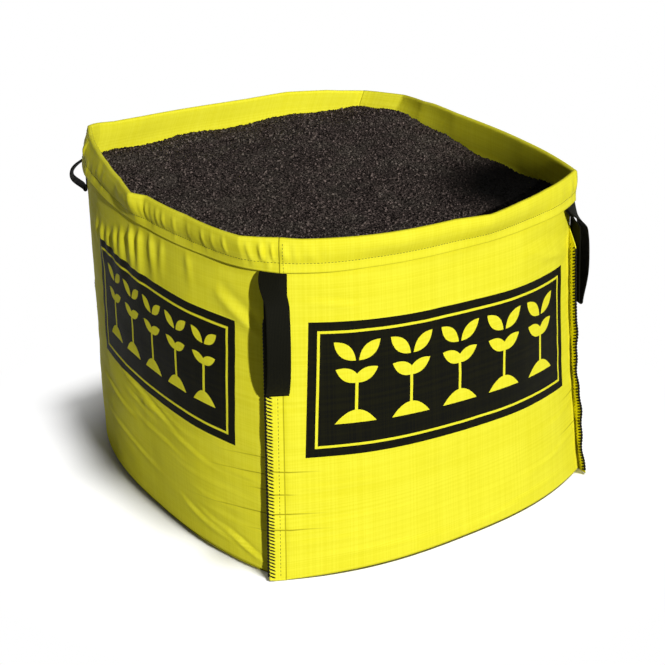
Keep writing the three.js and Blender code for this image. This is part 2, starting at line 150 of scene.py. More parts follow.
# Creases of the cloth: soft dents where the sheet is slack, pulls that run from the corners, gathers under
# the left hem, where the rim is the shorter edge, and bends of the rim itself. Places on a side are
# millimetres across from its middle and up from the floor.
SLACK_SIZE = 0.17
SLACK_DEPTH = 2.2 * MM
SLACK_FOOT = (8 * MM, 70 * MM)
SLACK_TOP = (-5 * MM, 30 * MM)
RIPPLE_SHARE, RIPPLE_LOW, RIPPLE_SMALL = 0.35, 1.6, 3.5
# Each crease runs from one place to another, and has a width and a depth.
CREASES = {
    FRONT: [
        ((190, 668), (420, 612), 20, 3.2),
        ((250, 642), (415, 596), 12, 2.2),
        ((-430, 232), (-190, 222), 4, 0.9),
        ((-430, 148), (-120, 136), 4, 1.0),
        ((-430, 96), (-230, 92), 4, 0.8),
        ((-420, 60), (60, 44), 5, 1.0),
        ((-430, 196), (-300, 190), 4, 0.7),
        ((-390, 655), (-250, 640), 8, 1.2),
        ((240, 190), (430, 214), 5, 1.0),
        ((150, 96), (435, 128), 6, 1.2),
        ((-60, 30), (360, 52), 6, 1.2),
    ],
    RIGHT: [
        ((-420, 640), (-160, 600), 14, 2.5),
        ((-420, 300), (-100, 280), 5, 1.0),
        ((120, 210), (420, 240), 5, 1.0),
        ((-60, 80), (380, 110), 7, 1.2),
        ((200, 660), (410, 620), 12, 2.0),
    ],
    BACK: [
        ((-410, 650), (-120, 610), 14, 2.5),
        ((-400, 260), (-60, 240), 5, 1.0),
        ((60, 180), (420, 212), 6, 1.1),
        ((-200, 60), (260, 76), 7, 1.2),
        ((180, 655), (400, 610), 12, 2.0),
    ],
    LEFT: [
        ((-150, 322), (90, 268), 6, 2.0),
        ((-120, 300), (60, 262), 4, 1.3),
        ((-60, 296), (150, 250), 5, 1.6),
        ((-140, 276), (40, 250), 4, 1.2),
        ((20, 300), (230, 262), 4, 1.0),
        ((40, 262), (300, 214), 5, 1.3),
        ((-90, 236), (180, 196), 5, 1.4),
        ((60, 196), (420, 168), 4, 1.1),
        ((150, 148), (430, 132), 4, 1.0),
        ((200, 108), (435, 104), 4, 0.9),
        ((120, 92), (330, 40), 7, 2.0),
        ((190, 96), (400, 34), 6, 2.0),
        ((260, 84), (430, 20), 6, 1.6),
        ((250, 238), (430, 222), 4, 1.0),
        ((-330, 250), (-60, 214), 6, 1.4),
        ((-300, 160), (60, 118), 6, 1.4),
        ((280, 655), (420, 560), 16, 3.0),
    ],
}
CREASE_DEPTH = 2.2
CREASE_WANDER = 0.012
CREASE_BOW = 0.05
CREASE_FOOT = 30 * MM
# Upright folds of the hem: the place across, the depth and the width of each.
HEM_FOLDS = {
    FRONT: [(-424, 3.5, 7), (-402, 2.4, 6), (-372, 2.6, 10), (-335, 1.6, 12), (395, 2.5, 10), (424, 3, 8)],
    RIGHT: [(-420, 3, 9), (-385, 2, 9), (405, 3, 8)],
    BACK: [(-410, 3, 9), (-380, 2, 8), (-350, 2, 8), (404, 3, 9)],
    LEFT: [
        (443, 4, 4), (420, 5.5, 5), (396, 3, 4.5), (337, 3, 5), (302, 1.6, 5), (270, 2.6, 4.5),
        (220, 1.6, 5), (168, 2.4, 4.5), (128, 2.8, 4.5), (103, 2.6, 4.5), (57, 2.2, 4.5), (38, 2.6, 4.5),
        (-395, 3, 9), (-405, 8, 40),
    ],
}
# Gathers: the place across, the depth, and how far below the hem each starts and ends.
GATHERS = [
    (-258, 5.0, 66, 150),
    (-214, 7.5, 62, 200),
    (-170, 6.0, 58, 170),
    (-126, 8.0, 44, 190),
    (-84, 7.0, 30, 220),
    (-38, 9.0, 12, 180),
    (10, 8.0, 4, 200),
    (56, 6.0, 0, 150),
    (104, 4.0, 0, 120),
    (196, 3.0, 0, 110),
]
GATHER_RISE = 34 * MM
GATHER_WIDTH = 8 * MM
GATHER_SPREAD = 0.075
GATHER_LEAN = 0.10
# Bends of the rim: the place as a share of the half side, and how far the rim stands out or drops there.
RIM_FOLDS = {
    FRONT: [(-1, 0), (-0.9, 9), (-0.48, 9), (-0.05, 6), (0.18, 16), (0.42, 6), (0.65, 1), (1, 0)],
    RIGHT: [(-1, 0), (-0.5, -9), (0.16, -10), (0.5, 2), (0.74, 32), (1, 0)],
    BACK: [(-1, 0), (-0.84, -3), (-0.49, 8), (0, 2), (0.6, -3), (0.92, 6), (1, 0)],
    LEFT: [
        (-1, 0), (-0.7, -10), (-0.49, -10), (-0.22, 2), (0.01, 25), (0.1, 4), (0.45, 2), (0.84, 26), (1, 0),
    ],
}
RIM_DIPS = {
    FRONT: [(-1, 0), (-0.05, 2), (0.18, 6), (0.42, 2), (0.65, 0)],
    RIGHT: [(0.4, 0), (0.74, 11), (1, 10)],
    BACK: [(-1, 10), (-0.76, 0), (-0.49, -4), (-0.2, 0), (0.8, 0), (0.95, -6)],
    LEFT: [(-1, -6), (-0.9, 0)],
}
RIM_FADE = 25 * MM


def slack_noise(x, y, size, seed):
    """Smooth uneven dents of about the given size, from -1 to 1."""
    cells = 64
    heights = np.random.default_rng(seed).uniform(-1, 1, (cells, cells))
    x, y = x / size + 17, y / size + 17
    i, j = np.floor(x).astype(int), np.floor(y).astype(int)
    s, t = ease(x - i, 0, 1), ease(y - j, 0, 1)

    def at(a, b):
        return heights[a % cells, b % cells]

    low = mix(at(i, j), at(i + 1, j), s)
    high = mix(at(i, j + 1), at(i + 1, j + 1), s)
    return mix(low, high, t)


def crease(x, z, line):
    """One crease: a ridge with a dent beside it, wandering a little and fading out at both ends."""
    (x0, z0), (x1, z1), width, depth = line
    start, end = np.array([x0, z0]) * MM, np.array([x1, z1]) * MM
    length = np.linalg.norm(end - start)
    way = (end - start) / length
    t = ((x - start[0]) * way[0] + (z - start[1]) * way[1]) / length
    off = -(x - start[0]) * way[1] + (z - start[1]) * way[0]
    off = off + CREASE_WANDER * length * np.sin(7 * t + 9 * x0) + CREASE_BOW * length * (t - t * t)
    near = off / (width * MM)
    fade = np.sin(np.pi * np.clip(t, 0, 1)) ** 0.8
    ridge, dent = np.exp(-np.abs(near) ** 1.4), 0.7 * np.exp(-((near - 1.3) ** 2))
    return CREASE_DEPTH * depth * MM * fade * (ridge - dent)


def gathers(x, below):
    """Upright folds under the hem, narrow at the stitching and wider below it."""
    total = np.zeros_like(x)
    width = GATHER_WIDTH + GATHER_SPREAD * np.maximum(below, 0)
    for k, (place, depth, start, reach) in enumerate(GATHERS):
        lean = GATHER_LEAN * math.sin(3 * k) * below
        full = start * MM + GATHER_RISE
        down = ease(below, start * MM, full) * (1 - ease(below, full, reach * MM))
        total += depth * MM * down * np.exp(-(((x - place * MM - lean) / width) ** 2))
    return total


def bent(bends, v):
    """How far a straight edge is moved along it: each bend's place, and how far it moves the edge there."""
    places, depths = zip(*bends)
    return MM * np.interp(v, places, depths)


def rim_shift(side, v, z, foot):
    """How far a wall stands out with the bends of its rim: they die away below the hem."""
    return bent(RIM_FOLDS[side], v) * ease(z - foot, -RIM_FADE, HEM_DEPTH)


def wrinkles(side, x, z, below):
    """How far the cloth stands in or out of its smooth shape."""
    free = ease(z, *SLACK_FOOT) * ease(below, *SLACK_TOP)
    total = SLACK_DEPTH * slack_noise(x, z, SLACK_SIZE, side)
    ripples = slack_noise(x, z * RIPPLE_LOW, SLACK_SIZE / RIPPLE_SMALL, side + 10)
    total += RIPPLE_SHARE * SLACK_DEPTH * ripples
    total = total * free
    for line in CREASES[side]:
        total = total + crease(x, z, line) * ease(z, 0, CREASE_FOOT)
    if side == LEFT:
        total = total + gathers(x, below)
    return total


# Hem and seams: the top of each panel is folded outwards and stitched down, over the ends of the webbing.
# At the corners two panels are sewn face to face, and the cloth past the seam stands out as a narrow fin.
# The places of all layers come from the thickness and the gap of the solids. The sheet itself is thinner.
CLOTH = 1.5 * MM
SEWN_GAP = 0.5 * MM
SHEET = 0.9 * MM
SEWN_APART = SHEET + 0.1 * MM
HEM_DEPTH = 75 * MM
HEM_ROLL = 5.5 * MM
HEM_PUFF = 2 * MM
HEM_STITCH = 22 * MM
HEM_LIP = 1.2 * MM
HEM_SLACK = 0.5 * MM
HEM_CORNER_REACH = 150 * MM
HEM_SLANT = 0.003
HEM_FINE, HEM_RIDGE, HEM_COARSE = 0.016, 0.034, 0.06
HEM_PUCKERED = np.array([0.7, 0.7, 0.7, 1.5])
HEM_CORNER_PUCKERED = 0.9
HEM_CORNER = (0.30, 0.42)
BOTTOM_RADIUS = 13 * MM
CORNER_FOLD = 2.5 * MM
SEAM_ALLOWANCE = 38 * MM
SEAM_TUCK = 1.5 * MM
SEAM_TAPER = 55 * MM
SEAM_LEAN = np.radians([28, 16, 26, 28])
SEAM_WAVE = 3 * MM
SEAM_WAVE_LENGTH = 230 * MM
SEAM_RUFFLE = 1.6 * MM
SEAM_RUFFLE_LENGTH = 0.071
SEAM_PUCKER, SEAM_PULL = 0.017, 0.055
SEAM_PUCKER_REACH = 20 * MM
SEAM_PUCKER_START = 3 * MM
SEAM_PUCKER_FOOT = 60 * MM
SEAM_GROOVE = 5 * MM
SEAM_SMOOTH = 15 * MM
SEAM_SPREAD = 2
WEBBING_WIDTH = 50 * MM
WEBBING = 3 * MM
WEBBING_GAP = 0.95 * MM
LOOP_SETTLE = 60 * MM
LOOP_DROP = np.array([275, 250, 270, 84]) * MM
LEG_INNER = SEAM_TUCK + WEBBING_GAP + WEBBING / 2
LEG_OUTER = LEG_INNER + WEBBING + WEBBING_GAP
HEM_OVER_WEBBING = LEG_OUTER + WEBBING / 2 + CLOTH / 2
HEM_ON_WALL = CLOTH + HEM_SLACK
FLOOR_LEVEL = np.array([0, 1, 0, 1]) * (CLOTH + SEWN_GAP) + CLOTH / 2
FIN_STEPS = 9
COLUMN_CROWDING = 1.25


def rim_height(side, v):
    rise = mix(CORNER_RISE[side], CORNER_RISE[(side + 1) % 4], (1 + v) / 2)
    return RIM_HEIGHT + rise + RIM_SAG[side] * swelling(v)


def hem_foot(corner):
    return RIM_HEIGHT + CORNER_RISE[corner % 4] - HEM_DEPTH


def side_half(side):
    z = np.array(RIM_HEIGHT)
    return np.linalg.norm(seam_corner(side + 1, z) - seam_corner(side, z)) / 2


def under_stitching(side, v):
    """Distance of the hem's stitching from the wall: the webbing lies under it near the corners."""
    from_corner = (1 - np.abs(v)) * side_half(side)
    lift = 1 - ease(from_corner, 1.4 * WEBBING_WIDTH, WEBBING_WIDTH + HEM_CORNER_REACH)
    return mix(HEM_ON_WALL, HEM_OVER_WEBBING, lift)


def across_places(side, v):
    """Length of cloth from a side's middle to each column, measured at half height."""
    fine = np.linspace(-1, 1, 801)
    line = wall_line(side, fine, np.full(len(fine), RIM_HEIGHT / 2))[0]
    length = np.concatenate([[0], np.cumsum(np.linalg.norm(np.diff(line, axis=0), axis=1))])
    return np.interp(v, fine, length - length[-1] / 2)


def hem_pucker(side, x, t):
    """Small upright puckers of the hem, strongest at its stitching, and folds beside the corners."""
    fine = np.maximum(slack_noise(x, 0 * x, HEM_FINE, side + 40), 0)
    slant = x + HEM_SLANT * t
    ridge = 1 - np.abs(slack_noise(slant, 0.02 * t + 0 * x, HEM_RIDGE, side + 54)) * 2.6
    coarse = slack_noise(x, 0.03 * t + 0 * x, HEM_COARSE, side + 50)
    much = HEM_PUCKERED[side] + HEM_CORNER_PUCKERED * ease(np.abs(x), *HEM_CORNER)
    folds = 1.1 * np.maximum(ridge, 0) ** 1.5 + 1.1 * coarse
    for place, depth, width in HEM_FOLDS[side]:
        folds = folds + depth / much * np.exp(-(((slant - place * MM) / (width * MM)) ** 2))
    at_stitching = np.exp(-((t / 0.35) ** 2))
    return MM * much * (fine * at_stitching + folds * np.sin(np.pi * np.clip(t, 0, 1)))


def seam_pucker(side, v, from_seam, z):
    """A groove along the corner seam, and short slanting puckers that its stitching pulls in the cloth."""
    which = np.where(v < 0, 0.0, 3.0)
    slant = z + 0.5 * from_seam
    pucker = slack_noise(slant, which, SEAM_PUCKER, side + 60)
    pucker = pucker + 0.6 * slack_noise(slant, which, SEAM_PULL, side + 64)
    start = 1 - np.exp(-from_seam / SEAM_PUCKER_START)
    depth = 1.3 * pucker * np.exp(-from_seam / SEAM_PUCKER_REACH) * start
    groove = 1.4 * np.exp(-((from_seam / SEAM_GROOVE) ** 2))
    return MM * ease(z, 0, SEAM_PUCKER_FOOT) * (depth - groove)


def wall_section(side, v, rows):
    """Rows of a panel from the hem's lower edge, over the top and down to the floor: the distance out from
    the wall, the height, the section's own normal, whether it is hem, and how far it is turned under."""
    x = across_places(side, v)
    top = rim_height(side, v)
    foot = top - HEM_DEPTH
    stitch = under_stitching(side, v)
    zero, one = np.zeros_like(v), np.ones_like(v)
    made = []
    for t in np.linspace(0, 1, rows["flap"], endpoint=False):
        out = stitch + HEM_LIP * (1 - t) ** 1.5 + hem_pucker(side, x, -0.5 * (1 - t))
        made.append((out, foot + t * HEM_STITCH, -one, zero, True, zero))
    for t in np.linspace(0, 1, rows["hem"], endpoint=False):
        swell = HEM_PUFF * np.sin(np.pi * t)
        out = mix(stitch, 2 * HEM_ROLL, math.sin(math.pi / 2 * t)) + swell + hem_pucker(side, x, t)
        made.append((out, mix(foot + HEM_STITCH, top - HEM_ROLL, t), -one, zero, True, zero))
    for a in np.linspace(math.pi, 0, rows["roll"]):
        out = HEM_ROLL * (1 - math.cos(a)) * one
        z = top - HEM_ROLL * (1 - math.sin(a))
        made.append((out, z, math.cos(a) * one, -math.sin(a) * one, True, zero))
    fold = mix(BOTTOM_RADIUS, CORNER_FOLD, np.abs(v) ** 6)
    floor = FLOOR_LEVEL[side]
    for t in np.linspace(0, 1, rows["inside"] + 1)[1:]:
        z = mix(top - HEM_ROLL, foot, t)
        made.append((wrinkles(side, x, z, foot - z), z, one, zero, False, zero))
    from_seam = (1 - np.abs(v)) * side_half(side)
    seam_end = ease(from_seam, SEAM_SMOOTH, 0)
    for t in np.linspace(0, 1, rows["wall"] + 1)[1:]:
        z = mix(foot, floor + fold, t)
        out = wrinkles(side, x, z, foot - z) * (1 - seam_end) + seam_pucker(side, v, from_seam, z)
        made.append((out, z, one, zero, False, zero))
    for t in np.linspace(0, 1, rows["fold"] + 1)[1:]:
        a = math.pi / 2 * t
        out = -fold * (1 - math.cos(a))
        z = floor + fold * (1 - math.sin(a))
        made.append((out, z, math.cos(a) * one, -math.sin(a) * one, False, t * one))
    out, z, flat, down, hem, under = (np.array(part) for part in zip(*made))
    out = out + rim_shift(side, v, z, foot)
    z = z - bent(RIM_DIPS[side], v) * np.clip((z - foot) / HEM_DEPTH, 0, 1)
    return {"out": out, "z": z, "normal": (flat, down), "hem": hem, "under": under}


def fin_lines(corner):
    """A fin's direction along from the seam, and the way that its outer face looks, in plan."""
    floor = np.array(0.0)
    chord = unit(seam_corner(corner + 1, floor) - seam_corner(corner, floor))
    face = np.array([chord[1], -chord[0]])
    lean = SEAM_LEAN[corner % 4]
    along = -chord * math.cos(lean) - face * math.sin(lean)
    return along, face * math.cos(lean) - chord * math.sin(lean)


def in_space(plan, z=0.0):
    return np.concatenate([plan, np.full(plan.shape[:-1] + (1,), z)], -1)


def fin_ruffle(corner, z):
    """Sideways wave of a fin below its loop."""
    below = hem_foot(corner) - LOOP_DROP[corner % 4] - z
    free = ease(below, 0, SEAM_WAVE_LENGTH / 2)
    wave = SEAM_WAVE * np.sin(2 * np.pi * below / SEAM_WAVE_LENGTH)
    return free * (wave + SEAM_RUFFLE * np.sin(2 * np.pi * below / SEAM_RUFFLE_LENGTH + corner))


def fin(side, end, rows):
    """Columns of a panel past its seam, from the cloth's edge to the seam, and the edge's run of widths."""
    corner = (side if end < 0 else side + 1) % 4
    along, face = fin_lines(corner)
    pick = 0 if end < 0 else -1
    z, hem, under = rows["z"][:, pick], rows["hem"], rows["under"][:, pick]
    flat, down = (part[:, pick, None] for part in rows["normal"])
    fall = hem_foot(corner) - z
    turn = np.where(hem, 0, ease(fall, 0, LOOP_SETTLE))[:, None]
    opened = np.where(hem, 0, ease(fall, LOOP_SETTLE, LOOP_SETTLE + SEAM_TAPER)) * (1 - under)
    middle = corner_middle(corner, z)
    reach = unit(mix(np.concatenate([middle * flat, down], -1), in_space(along), turn))
    sideways = np.stack([-middle[:, 1], middle[:, 0]], -1)
    apart = unit(mix(in_space(sideways), in_space(face), turn))
    layer = (1 if corner == side else -1) * SEWN_APART / 2
    seam = stand_off(side, np.full_like(z, end), z, rows["out"][:, pick])
    seam = seam + apart * (layer * (1 + SEAM_SPREAD * under))[:, None]
    width = mix(SEAM_TUCK, SEAM_ALLOWANCE, opened)
    ruffle = in_space(face) * (fin_ruffle(corner, z) * (1 - under))[:, None]
    steps = np.linspace(1, 0, FIN_STEPS)
    points = [seam + reach * (width * t)[:, None] + ruffle * t**1.5 for t in steps]
    return np.stack(points, 1), width[:, None] * steps


def panel_grid(side, columns, rows):
    """Points of a panel and its cloth coordinates in metres: across from the middle, up from the floor."""
    v = np.tanh(np.linspace(-COLUMN_CROWDING, COLUMN_CROWDING, columns)) / math.tanh(COLUMN_CROWDING)
    section = wall_section(side, v, rows)
    inner = stand_off(side, np.broadcast_to(v, section["z"].shape), section["z"], section["out"])
    start, start_width = fin(side, -1.0, section)
    end, end_width = fin(side, 1.0, section)
    grid = np.concatenate([start, inner[:, 1:-1], end[:, ::-1]], 1)
    x = across_places(side, v)
    across = np.broadcast_to(x[1:-1], (len(grid), columns - 2))
    across = np.concatenate([x[0] - start_width, across, x[-1] + end_width[:, ::-1]], 1)
    middle = columns // 2
    step = np.linalg.norm(np.diff(inner[:, middle], axis=0), axis=1)
    up = np.concatenate([[0], -np.cumsum(step)])
    on_wall = np.argmin(np.abs(section["z"][:, middle] - RIM_HEIGHT / 2) + section["hem"])
    up = up - up[on_wall] + section["z"][on_wall, middle]
    return grid, across, np.broadcast_to(up[:, None], across.shape)


def grid_faces(height, width):
    """Faces between the points of a grid, seen from the right of rows that run down."""
    number = np.arange(height * width).reshape(height, width)
    corners = number[:-1, :-1], number[1:, :-1], number[1:, 1:], number[:-1, 1:]
    return np.stack(corners, -1).reshape(-1, 4)


def put_in_scene(name, mesh):
    piece = bpy.data.objects.new(name, mesh)
    scene.collection.objects.link(piece)
    return piece


def cloth_mesh(name, grid, across, up):
    """A sheet through a grid of points, its outside to the right of rows that run down."""
    mesh = bpy.data.meshes.new(name)
    mesh.from_pydata(grid.reshape(-1, 3).tolist(), [], grid_faces(*grid.shape[:2]).tolist())
    layer = mesh.uv_layers.new(name="cloth")
    loops = np.empty(len(mesh.loops), dtype=np.int32)
    mesh.loops.foreach_get("vertex_index", loops)
    lengths = np.stack([across, up], -1).reshape(-1, 2)[loops]
    layer.data.foreach_set("uv", lengths.astype(np.float32).ravel())
    mesh.shade_smooth()
    return put_in_scene(name, mesh)


def give_thickness(piece, thickness):
    solid = piece.modifiers.new("thickness", "SOLIDIFY")
    solid.thickness = thickness
    solid.offset = 0
    solid.use_rim = True


# Woven cloth: flat polypropylene tapes, dyed yellow and woven over and under, a little glossy. The print is
# black ink, flood printed as one field, with the yellow left bare for a border and a row of seedlings.
TAPE = 2.7 * MM
CLOTH_YELLOW = (0.91, 0.86, 0.052, 1)
CLOTH_SHADE = (0.80, 0.74, 0.022, 1)
INK_BLACK = (0.0050, 0.0052, 0.0045, 1)
# Painted shade: the colour of the dark line along the seam groove and of the thin crease lines.
PAINTED_FOLD_SHADE = (0.30, 0.26, 0.004, 1)
FOLD_WIDTH = 2.4 * MM
CLOTH_GLOSS = 0.03
INK_GLOSS = 0.02
BORDER_INSET = 20 * MM
BORDER_LINE = 6 * MM
SEEDLINGS = 5
STEM = 7 * MM
LEAF_TILT = math.radians(38)
# Heights are shares of half the field, and widths are shares of one seedling's room.
SEEDLING_BASE = -0.52
STEM_HEIGHT, MOUND_HEIGHT = 0.72, 0.2
LEAF_LEVELS = (0.72, 1.08)
MOUND_WIDTH, LEAF_LENGTH, LEAF_WIDTH = 0.36, 0.25, 0.11
PRINT_TILT = math.radians(-2.2)
WEAVE_RELIEF = 0.25 * MM
# Painted shade: how dark the line along the seam groove is.
SEAM_PAINTED_SHADE = 0.8
# The last of these is painted shade in the gaps between the tapes; the others are random tone.
STREAKS, MOTTLING, PALER, GAP_PAINTED_SHADE = 0.40, 0.7, 0.24, 0.22


def set_inputs(tree, node, inputs):
    """Inputs of a node, given as values or as sockets to link."""
    for key, value in inputs.items():
        if isinstance(value, bpy.types.NodeSocket):
            tree.links.new(value, node.inputs[key])
        else:
            node.inputs[key].default_value = value


def add_node(tree, kind, inputs, **settings):
    """A node with its settings and its inputs."""
    node = tree.nodes.new(kind)
    for key, value in settings.items():
        setattr(node, key, value)
    set_inputs(tree, node, inputs)
    return node


def calc(tree, operation, *values):
    """A sum on the values or sockets given."""
    return add_node(tree, "ShaderNodeMath", dict(enumerate(values)), operation=operation).outputs[0]


def blend_colours(tree, amount, a, b):
    inputs = {"Factor": amount, "A": a, "B": b}
    return add_node(tree, "ShaderNodeMix", inputs, data_type="RGBA").outputs["Result"]


def speckle(tree, value):
    """A steady random number for each whole step of a value."""
    step = {"W": calc(tree, "FLOOR", value)}
    return add_node(tree, "ShaderNodeTexWhiteNoise", step, noise_dimensions="1D").outputs["Value"]


def turned(tree, x, y, angle):
    """A place measured from axes that are turned by an angle."""
    c, s = math.cos(angle), math.sin(angle)
    along = calc(tree, "MULTIPLY_ADD", x, c, calc(tree, "MULTIPLY", y, s))
    return along, calc(tree, "MULTIPLY_ADD", y, c, calc(tree, "MULTIPLY", x, -s))


def printed(tree, across, up, place):
    """Where the ink lies: a black field with a bare border line and bare seedlings on small mounds."""
    dx, dy = calc(tree, "SUBTRACT", across, place["across"]), calc(tree, "SUBTRACT", up, place["up"])
    x, y = turned(tree, dx, dy, PRINT_TILT)
    wide, high = place["width"] / 2, place["height"] / 2

    def inside(inset):
        along = calc(tree, "LESS_THAN", calc(tree, "ABSOLUTE", x), wide - inset)
        level = calc(tree, "LESS_THAN", calc(tree, "ABSOLUTE", y), high - inset)
        return calc(tree, "MULTIPLY", along, level)

    border = calc(tree, "SUBTRACT", inside(BORDER_INSET), inside(BORDER_INSET + BORDER_LINE))
    room = wide - BORDER_INSET - 4 * BORDER_LINE
    cell = 2 * room / SEEDLINGS
    beside = calc(tree, "ABSOLUTE", calc(tree, "WRAP", x, cell / 2, -cell / 2))
    above = calc(tree, "SUBTRACT", y, SEEDLING_BASE * high)
    stem = calc(tree, "LESS_THAN", beside, STEM / 2)
    stem = calc(tree, "MULTIPLY", stem, calc(tree, "LESS_THAN", above, STEM_HEIGHT * high))
    mound_x = calc(tree, "POWER", calc(tree, "DIVIDE", beside, MOUND_WIDTH * cell), 2.0)
    mound_top = calc(tree, "MULTIPLY", calc(tree, "SUBTRACT", 1.0, mound_x), MOUND_HEIGHT * high)
    shape = calc(tree, "MAXIMUM", stem, calc(tree, "LESS_THAN", above, mound_top))
    leaf_long, leaf_wide = LEAF_LENGTH * cell, LEAF_WIDTH * cell
    for lift in LEAF_LEVELS:
        leaf_x = calc(tree, "SUBTRACT", beside, 0.8 * leaf_long * lift)
        leaf_y = calc(tree, "SUBTRACT", above, high * lift)
        run, off = turned(tree, leaf_x, leaf_y, LEAF_TILT * lift)
        arch = calc(tree, "SUBTRACT", 1.0, calc(tree, "POWER", calc(tree, "DIVIDE", run, leaf_long), 2.0))
        edge = calc(tree, "MULTIPLY", arch, leaf_wide)
        shape = calc(tree, "MAXIMUM", shape, calc(tree, "LESS_THAN", calc(tree, "ABSOLUTE", off), edge))
    shape = calc(tree, "MULTIPLY", shape, calc(tree, "GREATER_THAN", above, 0.0))
    shape = calc(tree, "MULTIPLY", shape, calc(tree, "LESS_THAN", calc(tree, "ABSOLUTE", x), room))
    bare = calc(tree, "MAXIMUM", border, shape)
    return calc(tree, "MULTIPLY", inside(0.0), calc(tree, "SUBTRACT", 1.0, bare))


def fades(tree, value, full, gone):
    """One at the first value, nothing at the second, and smooth between."""
    inputs = {"Value": value, "From Min": gone, "From Max": full}
    return add_node(tree, "ShaderNodeMapRange", inputs, interpolation_type="SMOOTHSTEP").outputs["Result"]


def folded(tree, across, up, seam, lines):
    """Painted shade: a dark line along the groove of the side seams, and thin dark lines in the creases
    where the empty bag was folded flat; each of those runs from a seam, and is gone at its other end."""
    from_seam = calc(tree, "ABSOLUTE", calc(tree, "SUBTRACT", calc(tree, "ABSOLUTE", across), seam))
    total = calc(tree, "MULTIPLY", fades(tree, from_seam, 0.0, FOLD_WIDTH), SEAM_PAINTED_SHADE)
    for (x0, z0), (x1, z1) in lines:
        slope = (z1 - z0) / (x1 - x0)
        level = calc(tree, "MULTIPLY_ADD", across, slope, (z0 - slope * x0) * MM)
        off = calc(tree, "ABSOLUTE", calc(tree, "SUBTRACT", up, level))
        along = fades(tree, across, x0 * MM, x1 * MM)
        line = calc(tree, "MULTIPLY", fades(tree, off, 0.0, FOLD_WIDTH), along)
        total = calc(tree, "MAXIMUM", total, line)
    return total


def new_material(name):
    """A material, its nodes and its main shader."""
    material = bpy.data.materials.new(name)
    material.use_nodes = True
    return material, material.node_tree, material.node_tree.nodes["Principled BSDF"]


def cloth_lengths(tree):
    """A sheet's own coordinates in metres: the pair, across it, and up or along it."""
    lengths = add_node(tree, "ShaderNodeUVMap", {}, uv_map="cloth").outputs["UV"]
    parts = add_node(tree, "ShaderNodeSeparateXYZ", {"Vector": lengths})
    return lengths, parts.outputs["X"], parts.outputs["Y"]


def uneven(tree, place, scale, detail=2.0, roughness=0.5):
    """A cloudy value, from 0 to 1."""
    inputs = {"Vector": place, "Scale": scale, "Detail": detail, "Roughness": roughness}
    return add_node(tree, "ShaderNodeTexNoise", inputs).outputs["Fac"]


def raised(tree, height, strength, depth):
    """Relief that is too fine for the mesh."""
    inputs = {"Height": height, "Strength": strength, "Distance": depth}
    return add_node(tree, "ShaderNodeBump", inputs).outputs["Normal"]


def woven_cloth(name, side, print_place=None, shaded_fold_lines=()):
    material, tree, shader = new_material(name)
    lengths, across, up = cloth_lengths(tree)
    warp, weft = calc(tree, "DIVIDE", across, TAPE), calc(tree, "DIVIDE", up, TAPE)
    over = calc(tree, "ADD", calc(tree, "FLOOR", warp), calc(tree, "FLOOR", weft))
    over = calc(tree, "FLOORED_MODULO", over, 2.0)

    def crown(tape):
        t = calc(tree, "FRACT", tape)
        return calc(tree, "MULTIPLY", calc(tree, "MULTIPLY", t, calc(tree, "SUBTRACT", 1.0, t)), 4.0)

    weave = calc(tree, "MULTIPLY", over, crown(warp))
    weave = calc(tree, "MULTIPLY_ADD", calc(tree, "SUBTRACT", 1.0, over), crown(weft), weave)
    # Painted shade: the line along the seam groove and the crease lines darken the colour below.
    fold = folded(tree, across, up, float(across_places(side, 1.0)), shaded_fold_lines)
    mottle = uneven(tree, lengths, 9, 5, 0.6)
    streak = calc(tree, "ADD", speckle(tree, warp), speckle(tree, weft))
    tone = calc(tree, "MULTIPLY_ADD", streak, STREAKS, calc(tree, "MULTIPLY", mottle, MOTTLING))
    tone = calc(tree, "SUBTRACT", tone, PALER)
    # Painted shade in the gaps between the tapes, where the weave is low.
    gap = calc(tree, "MULTIPLY", calc(tree, "SUBTRACT", 1.0, weave), GAP_PAINTED_SHADE)
    colour = blend_colours(tree, calc(tree, "ADD", tone, gap), CLOTH_YELLOW, CLOTH_SHADE)
    colour = blend_colours(tree, fold, colour, PAINTED_FOLD_SHADE)
    gloss = CLOTH_GLOSS
    if print_place:
        ink = printed(tree, across, up, print_place)
        worn = calc(tree, "MULTIPLY_ADD", streak, -0.004, 1.0)
        colour = blend_colours(tree, calc(tree, "MULTIPLY", ink, worn), colour, INK_BLACK)
        gloss = calc(tree, "MULTIPLY_ADD", ink, INK_GLOSS - CLOTH_GLOSS, CLOTH_GLOSS)
    finish = {
        "Base Color": colour,
        "Roughness": calc(tree, "MULTIPLY_ADD", mottle, 0.2, 0.42),
        "Specular IOR Level": gloss,
        "Normal": raised(tree, calc(tree, "SUBTRACT", weave, fold), 0.55, WEAVE_RELIEF),
    }
    set_inputs(tree, shader, finish)
    return material


# Front, base and back: one long strip of the woven sheet that runs down the printed front, under the soil
# and up the back. Its side edges are sewn to the side panels, and its two ends are hemmed.
FRONT_ROWS = {"flap": 7, "hem": 16, "roll": 9, "inside": 8, "wall": 104, "fold": 8}
BACK_ROWS = {"flap": 5, "hem": 10, "roll": 7, "inside": 10, "wall": 44, "fold": 5}
BASE_ROWS = 13
STRIP_COLUMNS = 150
FRONT_PRINT = {"across": -8 * MM, "up": 437 * MM, "width": 756 * MM, "height": 310 * MM}
# Lines of painted shade in the creases, each from a seam to where it is gone: across from the middle and up
# from the floor.
FRONT_SHADED_FOLDS = [
    ((-450, 269), (-340, 261)),
    ((-450, 170), (-330, 160)),
    ((-450, 132), (-320, 122)),
    ((-450, 216), (-400, 212)),
    ((450, 236), (330, 228)),
    ((450, 150), (300, 140)),
]


def base_edge(side, v):
    """Where the strip's side edge lies, turned in under a side panel."""
    fold = mix(BOTTOM_RADIUS, CORNER_FOLD, np.abs(v) ** 6)
    inset = (fold + CORNER_FOLD) / 2
    floor = np.zeros_like(v)
    place = stand_off(side, v, floor, -inset)
    place[..., 2] = CLOTH / 2
    return place


